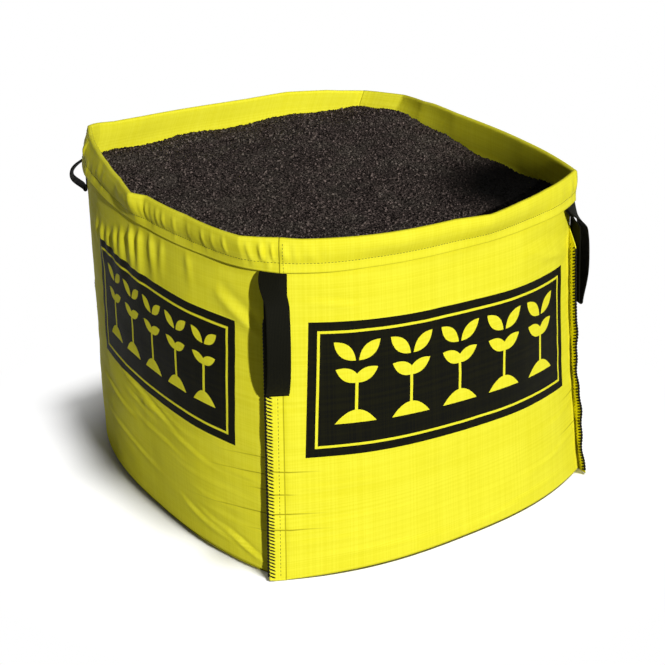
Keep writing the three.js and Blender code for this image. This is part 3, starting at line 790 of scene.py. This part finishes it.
front_grid, front_across, front_up = panel_grid(FRONT, STRIP_COLUMNS, FRONT_ROWS)
back_grid, back_across, back_up = panel_grid(BACK, STRIP_COLUMNS, BACK_ROWS)
main = slice(FIN_STEPS - 1, 1 - FIN_STEPS)
near, far = front_grid[-1, main], back_grid[-1, ::-1][main]
run = front_across[-1, main]
s = ((run - run[0]) / np.ptp(run))[:, None]
tuck = np.linspace(SEAM_TUCK, 0, FIN_STEPS)[:-1, None] * np.array([1, 0, 0])
base = []
for t in np.linspace(0, 1, BASE_ROWS + 2)[1:-1]:
    v = np.array(2 * t - 1)
    chord = mix(mix(near[0], near[-1], s), mix(far[0], far[-1], s), t)
    row = mix(near, far, t) + mix(base_edge(LEFT, -v), base_edge(RIGHT, v), s) - chord
    base.append(np.concatenate([row[0] - tuck, row, row[-1] + tuck[::-1]]))
strip = np.concatenate([front_grid, np.array(base), back_grid[::-1, ::-1]])
base_shape = (BASE_ROWS, strip.shape[1])
floor_run = np.linspace(0, -PANEL_WIDTH, BASE_ROWS + 2)[1:-1, None] + front_up[-1, 0]
back_run = front_up[-1, 0] - PANEL_WIDTH - back_up[::-1, ::-1] + back_up[-1, 0]
strip_up = np.concatenate([front_up, np.broadcast_to(floor_run, base_shape), back_run])
base_across = np.broadcast_to(front_across[-1], base_shape)
strip_across = np.concatenate([front_across, base_across, -back_across[::-1, ::-1]])
u_panel = cloth_mesh("printed_front_base_and_back", strip, strip_across, strip_up)
u_panel.data.materials.append(woven_cloth("printed_yellow_cloth", FRONT, FRONT_PRINT, FRONT_SHADED_FOLDS))
give_thickness(u_panel, SHEET)
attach(u_panel, "root")
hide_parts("u_panel")

# Side panels: two squares of the same sheet, sewn to the strip along both sides and the foot. The left one
# is printed like the front, and is gathered below its hem.
LEFT_COLUMNS, RIGHT_COLUMNS = 256, 140
LEFT_ROWS = {"flap": 7, "hem": 16, "roll": 9, "inside": 8, "wall": 112, "fold": 7}
RIGHT_ROWS = {"flap": 5, "hem": 12, "roll": 8, "inside": 12, "wall": 72, "fold": 5}
LEFT_PRINT = {"across": 46 * MM, "up": 458 * MM, "width": 576 * MM, "height": 300 * MM}
# Lines of painted shade in the creases, each from a seam to where it is gone.
LEFT_SHADED_FOLDS = [
    ((470, 261), (180, 216)),
    ((470, 164), (120, 110)),
    ((470, 303), (240, 268)),
    ((470, 222), (330, 200)),
    ((470, 190), (380, 176)),
    ((470, 120), (330, 98)),
]

left_grid, left_across, left_up = panel_grid(LEFT, LEFT_COLUMNS, LEFT_ROWS)
left_panel = cloth_mesh("printed_left_side", left_grid, left_across, left_up)
left_panel.data.materials.append(woven_cloth("printed_left_cloth", LEFT, LEFT_PRINT, LEFT_SHADED_FOLDS))
right_grid, right_across, right_up = panel_grid(RIGHT, RIGHT_COLUMNS, RIGHT_ROWS)
right_panel = cloth_mesh("plain_right_side", right_grid, right_across, right_up)
right_panel.data.materials.append(woven_cloth("plain_yellow_cloth", RIGHT))
left_cut, right_cut = (np.ptp(left_across), np.ptp(left_up)), (np.ptp(right_across), np.ptp(right_up))
for piece, node, cut, held in (
    (left_panel, "left_side_panel", left_cut, "gathered"),
    (right_panel, "right_side_panel", right_cut, "stretched"),
):
    give_thickness(piece, SHEET)
    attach(piece, "root")
    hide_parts(node)

# Lifting loops: black polypropylene webbing, fifty wide, one length to each corner. Both ends go up under
# the hem and are sewn there, and the slack hangs down in front of the corner seam.
LOOP_BOW = np.array([62, 20, 38, 35]) * MM
LOOP_FULLNESS = np.array([0.7, 1.2, 1.2, 1.2])
LOOP_KINK = 1.6 * MM
LOOP_LAP = np.array([12, 4, 12, 8]) * MM
LOOP_TUCK = 45 * MM
LOOP_BEND = 4 * MM
LEG_STEPS = 48
BEND_STEPS = 12
STRAP_STEPS = 16
STRAP_THICKNESS = 2.6 * MM
STRAP_RIB = 3.1 * MM
STRAP_RELIEF = 0.6 * MM
STRAP_DARK = (0.0015, 0.0015, 0.001, 1)
# Painted highlight: the colour of the webbing's rib tops, paler than its grooves.
STRAP_RIB_HIGHLIGHT = (0.010, 0.010, 0.005, 1)
LOOP_NAMES = ("front_left", "front_right", "back_right", "back_left")


def loop_path(corner):
    """The webbing's run: distance out from the seam, and height above the hem's lower edge."""
    rest = CLOTH + SEWN_GAP / 2 + WEBBING_GAP + WEBBING / 2
    straight = LOOP_DROP[corner] - LOOP_BEND
    t = np.linspace(0, 1, LEG_STEPS + 1)
    kink = LOOP_KINK * np.sin(3 * np.pi * t) * np.sin(np.pi * t)
    bow = LOOP_BOW[corner] * np.sin(np.pi * t) ** LOOP_FULLNESS[corner]
    outer = mix(LEG_OUTER, rest + 2 * LOOP_BEND, t) + bow + kink
    inner = mix(LEG_INNER, rest, ease(straight * t, 0, LOOP_SETTLE))
    a = np.linspace(0, np.pi, BEND_STEPS + 1)[1:-1]
    bend = rest + LOOP_BEND * (1 + np.cos(a))
    leg_up, bend_up = -straight * t, -straight - LOOP_BEND * np.sin(a)
    up = np.concatenate([[LOOP_TUCK], leg_up, bend_up, leg_up[::-1], [LOOP_TUCK]])
    return np.concatenate([[LEG_OUTER], outer, bend, inner[::-1], [LEG_INNER]]), up


def around_corner(corner, distance, z, out):
    """Points of the walls moved outwards, at distances from a corner, back along the side before it."""
    placed = []
    for side, end in (((corner - 1) % 4, 1), (corner, -1)):
        half = np.linalg.norm(seam_corner(side + 1, z) - seam_corner(side, z), axis=-1) / 2
        v = end * (1 - np.abs(distance) / half)
        placed.append(stand_off(side, v, z, out + rim_shift(side, v, z, hem_foot(corner))))
    return np.where((distance > 0)[..., None], placed[0], placed[1])


def webbing_grid(corner):
    """Points of a loop, and its own coordinates: across the webbing and along it."""
    out, up = loop_path(corner)
    along, face = fin_lines(corner)
    one = np.ones((len(up), STRAP_STEPS + 1))
    width = np.linspace(WEBBING_WIDTH, 0, STRAP_STEPS + 1) * one
    z = (hem_foot(corner) + up)[:, None] * one
    across, out = width - LOOP_LAP[corner], out[:, None] * one
    settle = ease(-up, 0, LOOP_SETTLE)[:, None, None]
    hanging = seam_corner(corner, z) + along * across[..., None] + face * out[..., None]
    hanging = np.concatenate([hanging, z[..., None]], -1)
    step = np.linalg.norm(np.diff(hanging[:, 0], axis=0), axis=1)
    run = np.concatenate([[0], np.cumsum(step)])[:, None] * one
    return mix(around_corner(corner, across, z, out), hanging, settle), width, run


def black_webbing():
    material, tree, shader = new_material("black_webbing")
    lengths, across, along = cloth_lengths(tree)
    rib = calc(tree, "PINGPONG", calc(tree, "DIVIDE", across, STRAP_RIB), 0.5)
    slant = calc(tree, "MULTIPLY_ADD", rib, 1.4, calc(tree, "DIVIDE", along, STRAP_RIB))
    weave = calc(tree, "MULTIPLY_ADD", calc(tree, "PINGPONG", slant, 0.5), 0.8, rib)
    # Painted highlight and shade: the rib tops are painted paler and the grooves darker.
    finish = {
        "Base Color": blend_colours(tree, weave, STRAP_DARK, STRAP_RIB_HIGHLIGHT),
        "Roughness": 0.7,
        "Specular IOR Level": 0.05,
        "Normal": raised(tree, weave, 0.8, STRAP_RELIEF),
    }
    set_inputs(tree, shader, finish)
    return material


webbing = black_webbing()
for corner, place in enumerate(LOOP_NAMES):
    grid, width, run = webbing_grid(corner)
    strap = cloth_mesh(f"{place}_webbing_loop", grid, width, run)
    strap.data.materials.append(webbing)
    give_thickness(strap, STRAP_THICKNESS)
    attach(strap, "root")
    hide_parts(f"{place}_lifting_loop")

# Sewing thread: thick black polyester. A lockstitch holds the hem down, another runs along each corner
# seam, and the raw edges of the seams are overlocked: slanting strokes over both faces and a chain round
# the edge.
STITCH_PITCH = 7.5 * MM
STITCH_SHOWN = 0.36 * STITCH_PITCH
THREAD = 0.55 * MM
THREAD_LIFT = 0.3 * MM
THREAD_DARK = (0.003, 0.003, 0.002, 1)
THREAD_PALE = (0.014, 0.013, 0.009, 1)
OVERLOCK_PITCH = 8.2 * MM
OVERLOCK_DEPTH = 15 * MM
OVERLOCK_SLANT = 6.5 * MM
OVERLOCK_THREAD = 1.9 * MM
EDGE_CHAIN = 3.3 * MM
SEAM_ROW = 26 * MM
SEAM_PITCH = 1.2 * STITCH_PITCH
SEAM_SHOWN = 0.4 * STITCH_PITCH
FIN_OPEN = 0.85


def repeat_nodes(name, build):
    """A node group that takes points, and gives back what is set on each of them in one material."""
    group = bpy.data.node_groups.new(name, "GeometryNodeTree")
    for socket, kind in (("Geometry", "Geometry"), ("Thickness", "Float"), ("Material", "Material")):
        group.interface.new_socket(socket, in_out="INPUT", socket_type=f"NodeSocket{kind}")
    group.interface.new_socket("Geometry", in_out="OUTPUT", socket_type="NodeSocketGeometry")
    start, end = group.nodes.new("NodeGroupInput"), group.nodes.new("NodeGroupOutput")
    realized = add_node(group, "GeometryNodeRealizeInstances", {"Geometry": build(group, start)})
    inputs = {"Geometry": realized.outputs["Geometry"], "Material": start.outputs["Material"]}
    finished = add_node(group, "GeometryNodeSetMaterial", inputs)
    set_inputs(group, end, {"Geometry": finished.outputs["Geometry"]})
    return group


def on_points(name, group, points, thickness, material):
    """A piece made by a node group over a mesh of points, as plain mesh."""
    carrier = put_in_scene(f"{name}_points", points)
    modifier = carrier.modifiers.new("repeat", "NODES")
    modifier.node_group = group
    sockets = {item.name: item.identifier for item in group.interface.items_tree if item.in_out == "INPUT"}
    modifier[sockets["Thickness"]] = thickness
    modifier[sockets["Material"]] = material
    shape = carrier.evaluated_get(bpy.context.evaluated_depsgraph_get())
    mesh = bpy.data.meshes.new_from_object(shape)
    mesh.name = name
    bpy.data.objects.remove(carrier)
    mesh.shade_smooth()
    return put_in_scene(name, mesh)


def stitch_shape(group, start):
    """Each point becomes a short run of thread that lies along one direction and faces another."""

    def attribute(kind, name):
        node = add_node(group, "GeometryNodeInputNamedAttribute", {"Name": name}, data_type=kind)
        return next(socket for socket in node.outputs if socket.enabled and socket.name == "Attribute")

    bead = add_node(group, "GeometryNodeMeshUVSphere", {"Segments": 6, "Rings": 6, "Radius": 1})
    axes = {0: attribute("FLOAT_VECTOR", "along"), 1: attribute("FLOAT_VECTOR", "facing")}
    turn = add_node(group, "FunctionNodeAxesToRotation", axes, primary_axis="X", secondary_axis="Z")
    thick, half = start.outputs["Thickness"], attribute("FLOAT", "half_length")
    size = add_node(group, "ShaderNodeCombineXYZ", {"X": half, "Y": thick, "Z": thick})
    inputs = {
        "Points": start.outputs["Geometry"],
        "Instance": bead.outputs["Mesh"],
        "Rotation": turn.outputs["Rotation"],
        "Scale": size.outputs["Vector"],
    }
    return add_node(group, "GeometryNodeInstanceOnPoints", inputs).outputs["Instances"]


def stitch_points(name, runs):
    """A mesh of stitch middles, from runs of places, directions along and facing, and half lengths."""
    places, along, facing, half_lengths = (np.concatenate(part) for part in zip(*runs))
    mesh = bpy.data.meshes.new(name)
    mesh.from_pydata(places.tolist(), [], [])
    for key, values in (("along", along), ("facing", facing)):
        layer = mesh.attributes.new(key, "FLOAT_VECTOR", "POINT")
        layer.data.foreach_set("vector", values.astype(np.float32).ravel())
    layer = mesh.attributes.new("half_length", "FLOAT", "POINT")
    layer.data.foreach_set("value", half_lengths.astype(np.float32))
    return mesh


def evenly(line, pitch, *others):
    """Points at an even pitch along a line, their directions, and what other lines have beside them."""
    run = np.concatenate([[0], np.cumsum(np.linalg.norm(np.diff(line, axis=0), axis=1))])
    at = np.arange(pitch / 2, run[-1], pitch)

    def pick(values):
        return np.stack([np.interp(at, run, values[:, k]) for k in range(3)], -1)

    places = pick(line)
    return places, unit(np.gradient(places, axis=0)), *(pick(other) for other in others)


def lying(places, along, facing, half_length):
    """A run of stitches of one length that lie on the cloth."""
    facing = facing * np.ones((len(places), 1))
    return places + facing * (SHEET / 2 + THREAD_LIFT), along, facing, np.full(len(places), half_length)


hem_runs, overlock_runs, edge_runs, seam_runs = [], [], [], []


def sew_hem(side, grid, rows):
    """The row along a hem, and a short one that runs down it beside the seam."""
    places, along = evenly(grid[rows["flap"], FIN_STEPS:-FIN_STEPS], STITCH_PITCH)
    facing = unit(np.stack([along[:, 1], -along[:, 0], 0 * along[:, 0]], -1))
    hem_runs.append(lying(places, along, facing, STITCH_SHOWN))
    places, along = evenly(grid[: rows["flap"] + rows["hem"], FIN_STEPS + 2], STITCH_PITCH)
    facing = in_space(wall_line(side, np.array(-0.98), np.array(RIM_HEIGHT))[1])
    seam_runs.append(lying(places, along, facing, STITCH_SHOWN))


def sew_fin(corner, columns, way):
    """Thread on one layer of a seam's fin, whose columns run in from the cloth's edge: the way is 1 for the
    layer on the fin's outer face and -1 for the other. The chain round the edge is sewn with the first."""
    width = np.linalg.norm(columns[:, 0] - columns[:, -1], axis=1)
    clear = columns[:, -1, 2] > OVERLOCK_SLANT + EDGE_CHAIN
    rows = np.flatnonzero((width > FIN_OPEN * SEAM_ALLOWANCE) & clear)
    columns = columns[rows[0] : rows[-1] + 1]

    def line_at(depth):
        at = depth / SEAM_ALLOWANCE * (FIN_STEPS - 1)
        return mix(columns[:, int(at)], columns[:, int(at) + 1], at % 1)

    outward, facing = (in_space(plan) for plan in fin_lines(corner))
    facing = facing * way
    rim, down, inward = evenly(columns[:, 0], OVERLOCK_PITCH, line_at(OVERLOCK_DEPTH))
    inward = inward + down * OVERLOCK_SLANT
    middle = (rim + inward) / 2 + facing * (SHEET / 2 + 0.5 * OVERLOCK_THREAD)
    half = np.linalg.norm(inward - rim, axis=1) / 2
    same = np.ones((len(rim), 1))
    overlock_runs.append((middle, unit(inward - rim), facing * same, half))
    if way > 0:
        edge = rim + outward * 0.6 * MM - facing * MM
        edge_runs.append((edge, down, outward * same, np.full(len(rim), 0.6 * OVERLOCK_PITCH)))
    sewn, down = evenly(line_at(SEAM_ROW), SEAM_PITCH)
    seam_runs.append(lying(sewn, down, facing, SEAM_SHOWN))


for side, grid, rows in (
    (FRONT, front_grid, FRONT_ROWS),
    (RIGHT, right_grid, RIGHT_ROWS),
    (BACK, back_grid, BACK_ROWS),
    (LEFT, left_grid, LEFT_ROWS),
):
    sew_hem(side, grid, rows)
    sew_fin(side, grid[:, :FIN_STEPS], 1)
    sew_fin((side + 1) % 4, grid[:, : -FIN_STEPS - 1 : -1], -1)


def place_on_piece(tree):
    return tree.nodes.new("ShaderNodeTexCoord").outputs["Object"]


def black_thread():
    material, tree, shader = new_material("black_thread")
    twist = uneven(tree, place_on_piece(tree), 420)
    colour = blend_colours(tree, twist, THREAD_DARK, THREAD_PALE)
    set_inputs(tree, shader, {"Base Color": colour, "Roughness": 0.7, "Specular IOR Level": 0.08})
    return material


thread = black_thread()
stitches = repeat_nodes("stitches", stitch_shape)
for name, runs, thickness in (
    ("hem_stitching", hem_runs, THREAD),
    ("seam_stitching", seam_runs, THREAD),
    ("overlock_strokes", overlock_runs, OVERLOCK_THREAD),
    ("overlock_edge_chain", edge_runs, EDGE_CHAIN),
):
    sewing = on_points(name, stitches, stitch_points(name, runs), thickness, thread)
    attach(sewing, "root")

# Soil: fine screened topsoil, tipped in and left loose, lower along the right side. Small crumbs of many
# sizes lie all over it.
SOIL_LEVEL = 737 * MM
# Humps: the place, the rise and the reach. Lumps: the direction in degrees, the length and the rise. Clods:
# the size in metres, the rise and the seed.
SOIL_HUMPS = [(0, 30, 14, 360), (390, 310, 22, 220), (-350, 380, 12, 160), (430, -140, -22, 200)]
SOIL_LUMPS = [(20, 235, 2.6), (95, 205, 2.6), (150, 260, 2.2)]
SOIL_CLODS = [(0.06, 1.0, 70), (0.024, 1.2, 71), (0.011, 1.3, 72)]
GRAIN_HEIGHT, GRAIN_LIMIT = 1.2, 2.5
SOIL_INSET = 3 * MM
SOIL_SPAN = 0.995
SOIL_SIDE_INSET = 3.5 * SOIL_INSET
SOIL_SIDE_TOP = 0.96
SOIL_FOOT = 0.95
SOIL_GRID = 286
CRUMB = 2.6 * MM
CRUMBS_PER_AREA = 9500
CRUMBS_PALER = 1.75
SOIL_DARK = (0.0045, 0.0036, 0.0032, 1)
SOIL_PALE = (0.125, 0.096, 0.085)
SOIL_GREY = (0.100, 0.083, 0.070)
# A painted shadow: the soil near the front right corner, below the rim, is darkened nearly to black.
SOIL_PAINTED_SHADOW = (0.0016, 0.0014, 0.0012, 1)
PAINTED_SHADOW_PLACE = (0.42, -0.33, 0.72)
PAINTED_SHADOW_REACH = 0.37
PAINTED_SHADOW_FULL = 0.45 * PAINTED_SHADOW_REACH
SOIL_RELIEF = 2.0 * MM
GRAIN_SCALE, PATCH_SCALE = 225, 14
GRAIN_CONTRAST, GRAIN_DARKER = 8.0, -3.7
PATCH_CONTRAST, PATCH_DARKER = 0.9, -0.4
SOIL_SIDE_LEVELS = (0.97, 0.8, 0.55, 0.3, 0.08)


def soil_height(x, y):
    total = np.full_like(x, SOIL_LEVEL)
    for cx, cy, rise, reach in SOIL_HUMPS:
        total += rise * MM * np.exp(-((x - cx * MM) ** 2 + (y - cy * MM) ** 2) / (reach * MM) ** 2)
    for turn, length, rise in SOIL_LUMPS:
        along = x * math.cos(math.radians(turn)) + y * math.sin(math.radians(turn))
        total += rise * MM * np.sin(2 * np.pi * along / (length * MM))
    return total


def soil_outline(side):
    """The soil's edge along a side, just inside the cloth."""
    v = even * SOIL_SPAN
    inset = np.full_like(v, -SOIL_INSET)
    guess = stand_off(side, v, np.full_like(v, SOIL_LEVEL), inset)
    return stand_off(side, v, soil_height(guess[..., 0], guess[..., 1]), inset)


def soil_ring(level):
    """The soil's outline at a share of its height, further inside the cloth."""
    v = even[:-1] * SOIL_SPAN
    z, inset = np.full_like(v, level * SOIL_LEVEL * SOIL_SIDE_TOP), np.full_like(v, -SOIL_SIDE_INSET)
    return np.concatenate([stand_off(side, v, z, inset) for side in range(4)])


def soil_faces(height, width):
    """Faces of a grid whose rows run away from the viewer: the outside is on top."""
    return grid_faces(height, width)[:, [0, 3, 2, 1]].tolist()


random = np.random.default_rng(20)
even = np.linspace(-1, 1, SOIL_GRID + 1)
near, right, far, left = (soil_outline(side) for side in range(4))
far, left = far[::-1], left[::-1]
s, t = (1 + even)[None, :, None] / 2, (1 + even)[:, None, None] / 2
top = mix(near[None], far[None], t) + mix(left[:, None], right[:, None], s)
top -= mix(mix(near[0], near[-1], s), mix(far[0], far[-1], s), t)
x, y = top[..., 0], top[..., 1]
clods = sum(depth * slack_noise(x, y, size, seed) for size, depth, seed in SOIL_CLODS)
grains = random.normal(0, GRAIN_HEIGHT, x.shape).clip(-GRAIN_LIMIT, GRAIN_LIMIT)
top[..., 2] = soil_height(x, y) + (clods + grains) * MM
rings = [soil_ring(level) for level in SOIL_SIDE_LEVELS]
foot = rings[-1] * SOIL_FOOT
foot[:, 2] = 2 * CLOTH + SEWN_GAP
rings.append(foot)
number = np.arange(x.size).reshape(x.shape)
faces = soil_faces(*x.shape)
rim = np.concatenate([number[0, :-1], number[:-1, -1], number[-1, :0:-1], number[:0:-1, 0]])
for k in range(len(rings)):
    lower = number.size + k * len(rim) + np.arange(len(rim))
    faces += np.stack([rim, lower, np.roll(lower, -1), np.roll(rim, -1)], -1).tolist()
    rim = lower
faces.append(rim[::-1].tolist())
soil_mesh = bpy.data.meshes.new("loose_topsoil")
soil_mesh.from_pydata(np.concatenate([top.reshape(-1, 3), *rings]).tolist(), [], faces)
soil_mesh.validate()
soil_mesh.shade_smooth()
topsoil = put_in_scene("loose_topsoil", soil_mesh)


def distance(tree, from_place):
    """How far each point of a piece is from a place."""
    ends = {0: place_on_piece(tree), 1: from_place}
    return add_node(tree, "ShaderNodeVectorMath", ends, operation="DISTANCE").outputs["Value"]


def dark_soil(name, pale):
    material, tree, shader = new_material(name)
    grain = uneven(tree, place_on_piece(tree), GRAIN_SCALE, 4, 0.7)
    patch = uneven(tree, place_on_piece(tree), PATCH_SCALE, 3)
    light = calc(tree, "MULTIPLY_ADD", grain, GRAIN_CONTRAST, GRAIN_DARKER)
    light = calc(tree, "ADD", light, calc(tree, "MULTIPLY_ADD", patch, PATCH_CONTRAST, PATCH_DARKER))
    light = calc(tree, "MINIMUM", calc(tree, "MAXIMUM", light, 0.0), 1.0)
    brown, grey = (tuple(c * pale for c in shade) + (1,) for shade in (SOIL_PALE, SOIL_GREY))
    crumbly = blend_colours(tree, fades(tree, patch, 0.62, 0.42), brown, grey)
    colour = blend_colours(tree, light, SOIL_DARK, crumbly)
    # Painted shadow: darkest near the front right corner, and gone further away.
    painted_shadow = fades(tree, distance(tree, PAINTED_SHADOW_PLACE), PAINTED_SHADOW_FULL, PAINTED_SHADOW_REACH)
    finish = {
        "Base Color": blend_colours(tree, painted_shadow, colour, SOIL_PAINTED_SHADOW),
        "Roughness": 0.95,
        "Specular IOR Level": 0.03,
        "Normal": raised(tree, grain, 0.9, SOIL_RELIEF),
    }
    set_inputs(tree, shader, finish)
    return material


def chance(group, kind, inputs):
    """A random value for each crumb."""
    node = add_node(group, "FunctionNodeRandomValue", inputs, data_type=kind)
    return next(socket for socket in node.outputs if socket.enabled)


def crumb_shape(group, start):
    """Crumbs of many sizes, scattered over a surface and turned every way."""
    inputs = {"Mesh": start.outputs["Geometry"], "Density": CRUMBS_PER_AREA, "Seed": 7}
    scatter = add_node(group, "GeometryNodeDistributePointsOnFaces", inputs)
    crumb = add_node(group, "GeometryNodeMeshIcoSphere", {"Radius": 1, "Subdivisions": 1})
    turns = {"Min": (0, 0, 0), "Max": (6.28, 6.28, 6.28), "Seed": 3}
    shape = chance(group, "FLOAT_VECTOR", {"Min": (0.45, 0.45, 0.4), "Max": (1.15, 1.0, 0.8), "Seed": 5})
    few_large = calc(group, "POWER", chance(group, "FLOAT", {"Seed": 11}), 3.0)
    radius = calc(group, "MULTIPLY_ADD", few_large, 1.7, 0.75)
    sizes = {0: shape, "Scale": calc(group, "MULTIPLY", radius, start.outputs["Thickness"])}
    inputs = {
        "Points": scatter.outputs["Points"],
        "Instance": crumb.outputs["Mesh"],
        "Rotation": chance(group, "FLOAT_VECTOR", turns),
        "Scale": add_node(group, "ShaderNodeVectorMath", sizes, operation="SCALE").outputs["Vector"],
    }
    return add_node(group, "GeometryNodeInstanceOnPoints", inputs).outputs["Instances"]


bed = top[::2, ::2][2:-2, 2:-2]
bed_mesh = bpy.data.meshes.new("soil_bed")
bed_mesh.from_pydata(bed.reshape(-1, 3).tolist(), [], soil_faces(*bed.shape[:2]))
crumb_nodes = repeat_nodes("crumbs", crumb_shape)
crumbs = on_points("soil_crumbs", crumb_nodes, bed_mesh, CRUMB, dark_soil("soil_crumbs", CRUMBS_PALER))
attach(crumbs, "root")

topsoil.data.materials.append(dark_soil("dark_topsoil", 1.0))
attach(topsoil, "root")
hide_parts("topsoil")

# Floor and light: a pale studio floor, a low key light from the front on the bag, a high one over the floor
# that leaves the shadow beside the left foot, and a little even fill. The floor goes to white a step away.
FLOOR_SIZE = 40.0
FLOOR_PALE = 0.86
FLOOR_BOUNCE = 0.11
FLOOR_WHITE, FLOOR_FADES = 1.05, 0.55
KEY_AZIMUTH, KEY_ELEVATION = math.radians(-12), math.radians(24)
KEY_SPREAD = math.radians(1.5)
KEY_STRENGTH = 3.6
HIGH_AZIMUTH, HIGH_ELEVATION = math.radians(10), math.radians(75)
HIGH_SPREAD = math.radians(11)
HIGH_STRENGTH = 4.1
FILL_STRENGTH = 0.055


def seen(tree):
    """One where the camera looks, straight or by a gloss or a clear sheet, and nothing for other light."""
    path = tree.nodes.new("ShaderNodeLightPath")
    direct = calc(tree, "MAXIMUM", path.outputs["Is Camera Ray"], path.outputs["Is Glossy Ray"])
    return calc(tree, "MAXIMUM", direct, path.outputs["Is Transmission Ray"])


half = FLOOR_SIZE / 2
floor_corners = [(-half, -half, 0), (half, -half, 0), (half, half, 0), (-half, half, 0)]
floor_mesh = bpy.data.meshes.new("studio_floor")
floor_mesh.from_pydata(floor_corners, [], [(0, 1, 2, 3)])
floor = put_in_scene("studio_floor", floor_mesh)
paper, tree, shader = new_material("pale_floor")
looked_at = seen(tree)
pale = calc(tree, "MULTIPLY_ADD", looked_at, FLOOR_PALE - FLOOR_BOUNCE, FLOOR_BOUNCE)
set_inputs(tree, shader, {"Base Color": pale, "Roughness": 0.9, "Specular IOR Level": 0.1})
white = add_node(tree, "ShaderNodeEmission", {"Color": (1, 1, 1, 1), "Strength": 1.0})
away = fades(tree, distance(tree, (0, 0, 0)), FLOOR_WHITE, FLOOR_FADES)
amount = calc(tree, "MULTIPLY", looked_at, away)
inputs = {"Fac": amount, 1: shader.outputs["BSDF"], 2: white.outputs["Emission"]}
cover = add_node(tree, "ShaderNodeMixShader", inputs)
set_inputs(tree, tree.nodes["Material Output"], {"Surface": cover.outputs["Shader"]})
floor_mesh.materials.append(paper)

for name, azimuth, elevation, spread, strength, on_floor in (
    ("key_light", KEY_AZIMUTH, KEY_ELEVATION, KEY_SPREAD, KEY_STRENGTH, "EXCLUDE"),
    ("high_light", HIGH_AZIMUTH, HIGH_ELEVATION, HIGH_SPREAD, HIGH_STRENGTH, "INCLUDE"),
):
    lamp = bpy.data.objects.new(name, bpy.data.lights.new(name, "SUN"))
    lamp.data.energy = strength
    lamp.data.angle = spread
    level = math.cos(elevation)
    back = Vector((math.sin(azimuth) * level, -math.cos(azimuth) * level, math.sin(elevation)))
    lamp.rotation_euler = (-back).to_track_quat("-Z", "Y").to_euler()
    scene.collection.objects.link(lamp)
    lamp.light_linking.receiver_collection = bpy.data.collections.new(f"lit_by_{name}")
    lamp.light_linking.receiver_collection.objects.link(floor)
    lamp.light_linking.receiver_collection.collection_objects[0].light_linking.link_state = on_floor
scene.world = bpy.data.worlds.new("studio")
scene.world.use_nodes = True
tree = scene.world.node_tree
fill = calc(tree, "MULTIPLY_ADD", seen(tree), 1 - FILL_STRENGTH, FILL_STRENGTH)
set_inputs(tree, tree.nodes["Background"], {"Color": (1, 1, 1, 1), "Strength": fill})
scene.view_settings.view_transform = "Standard"
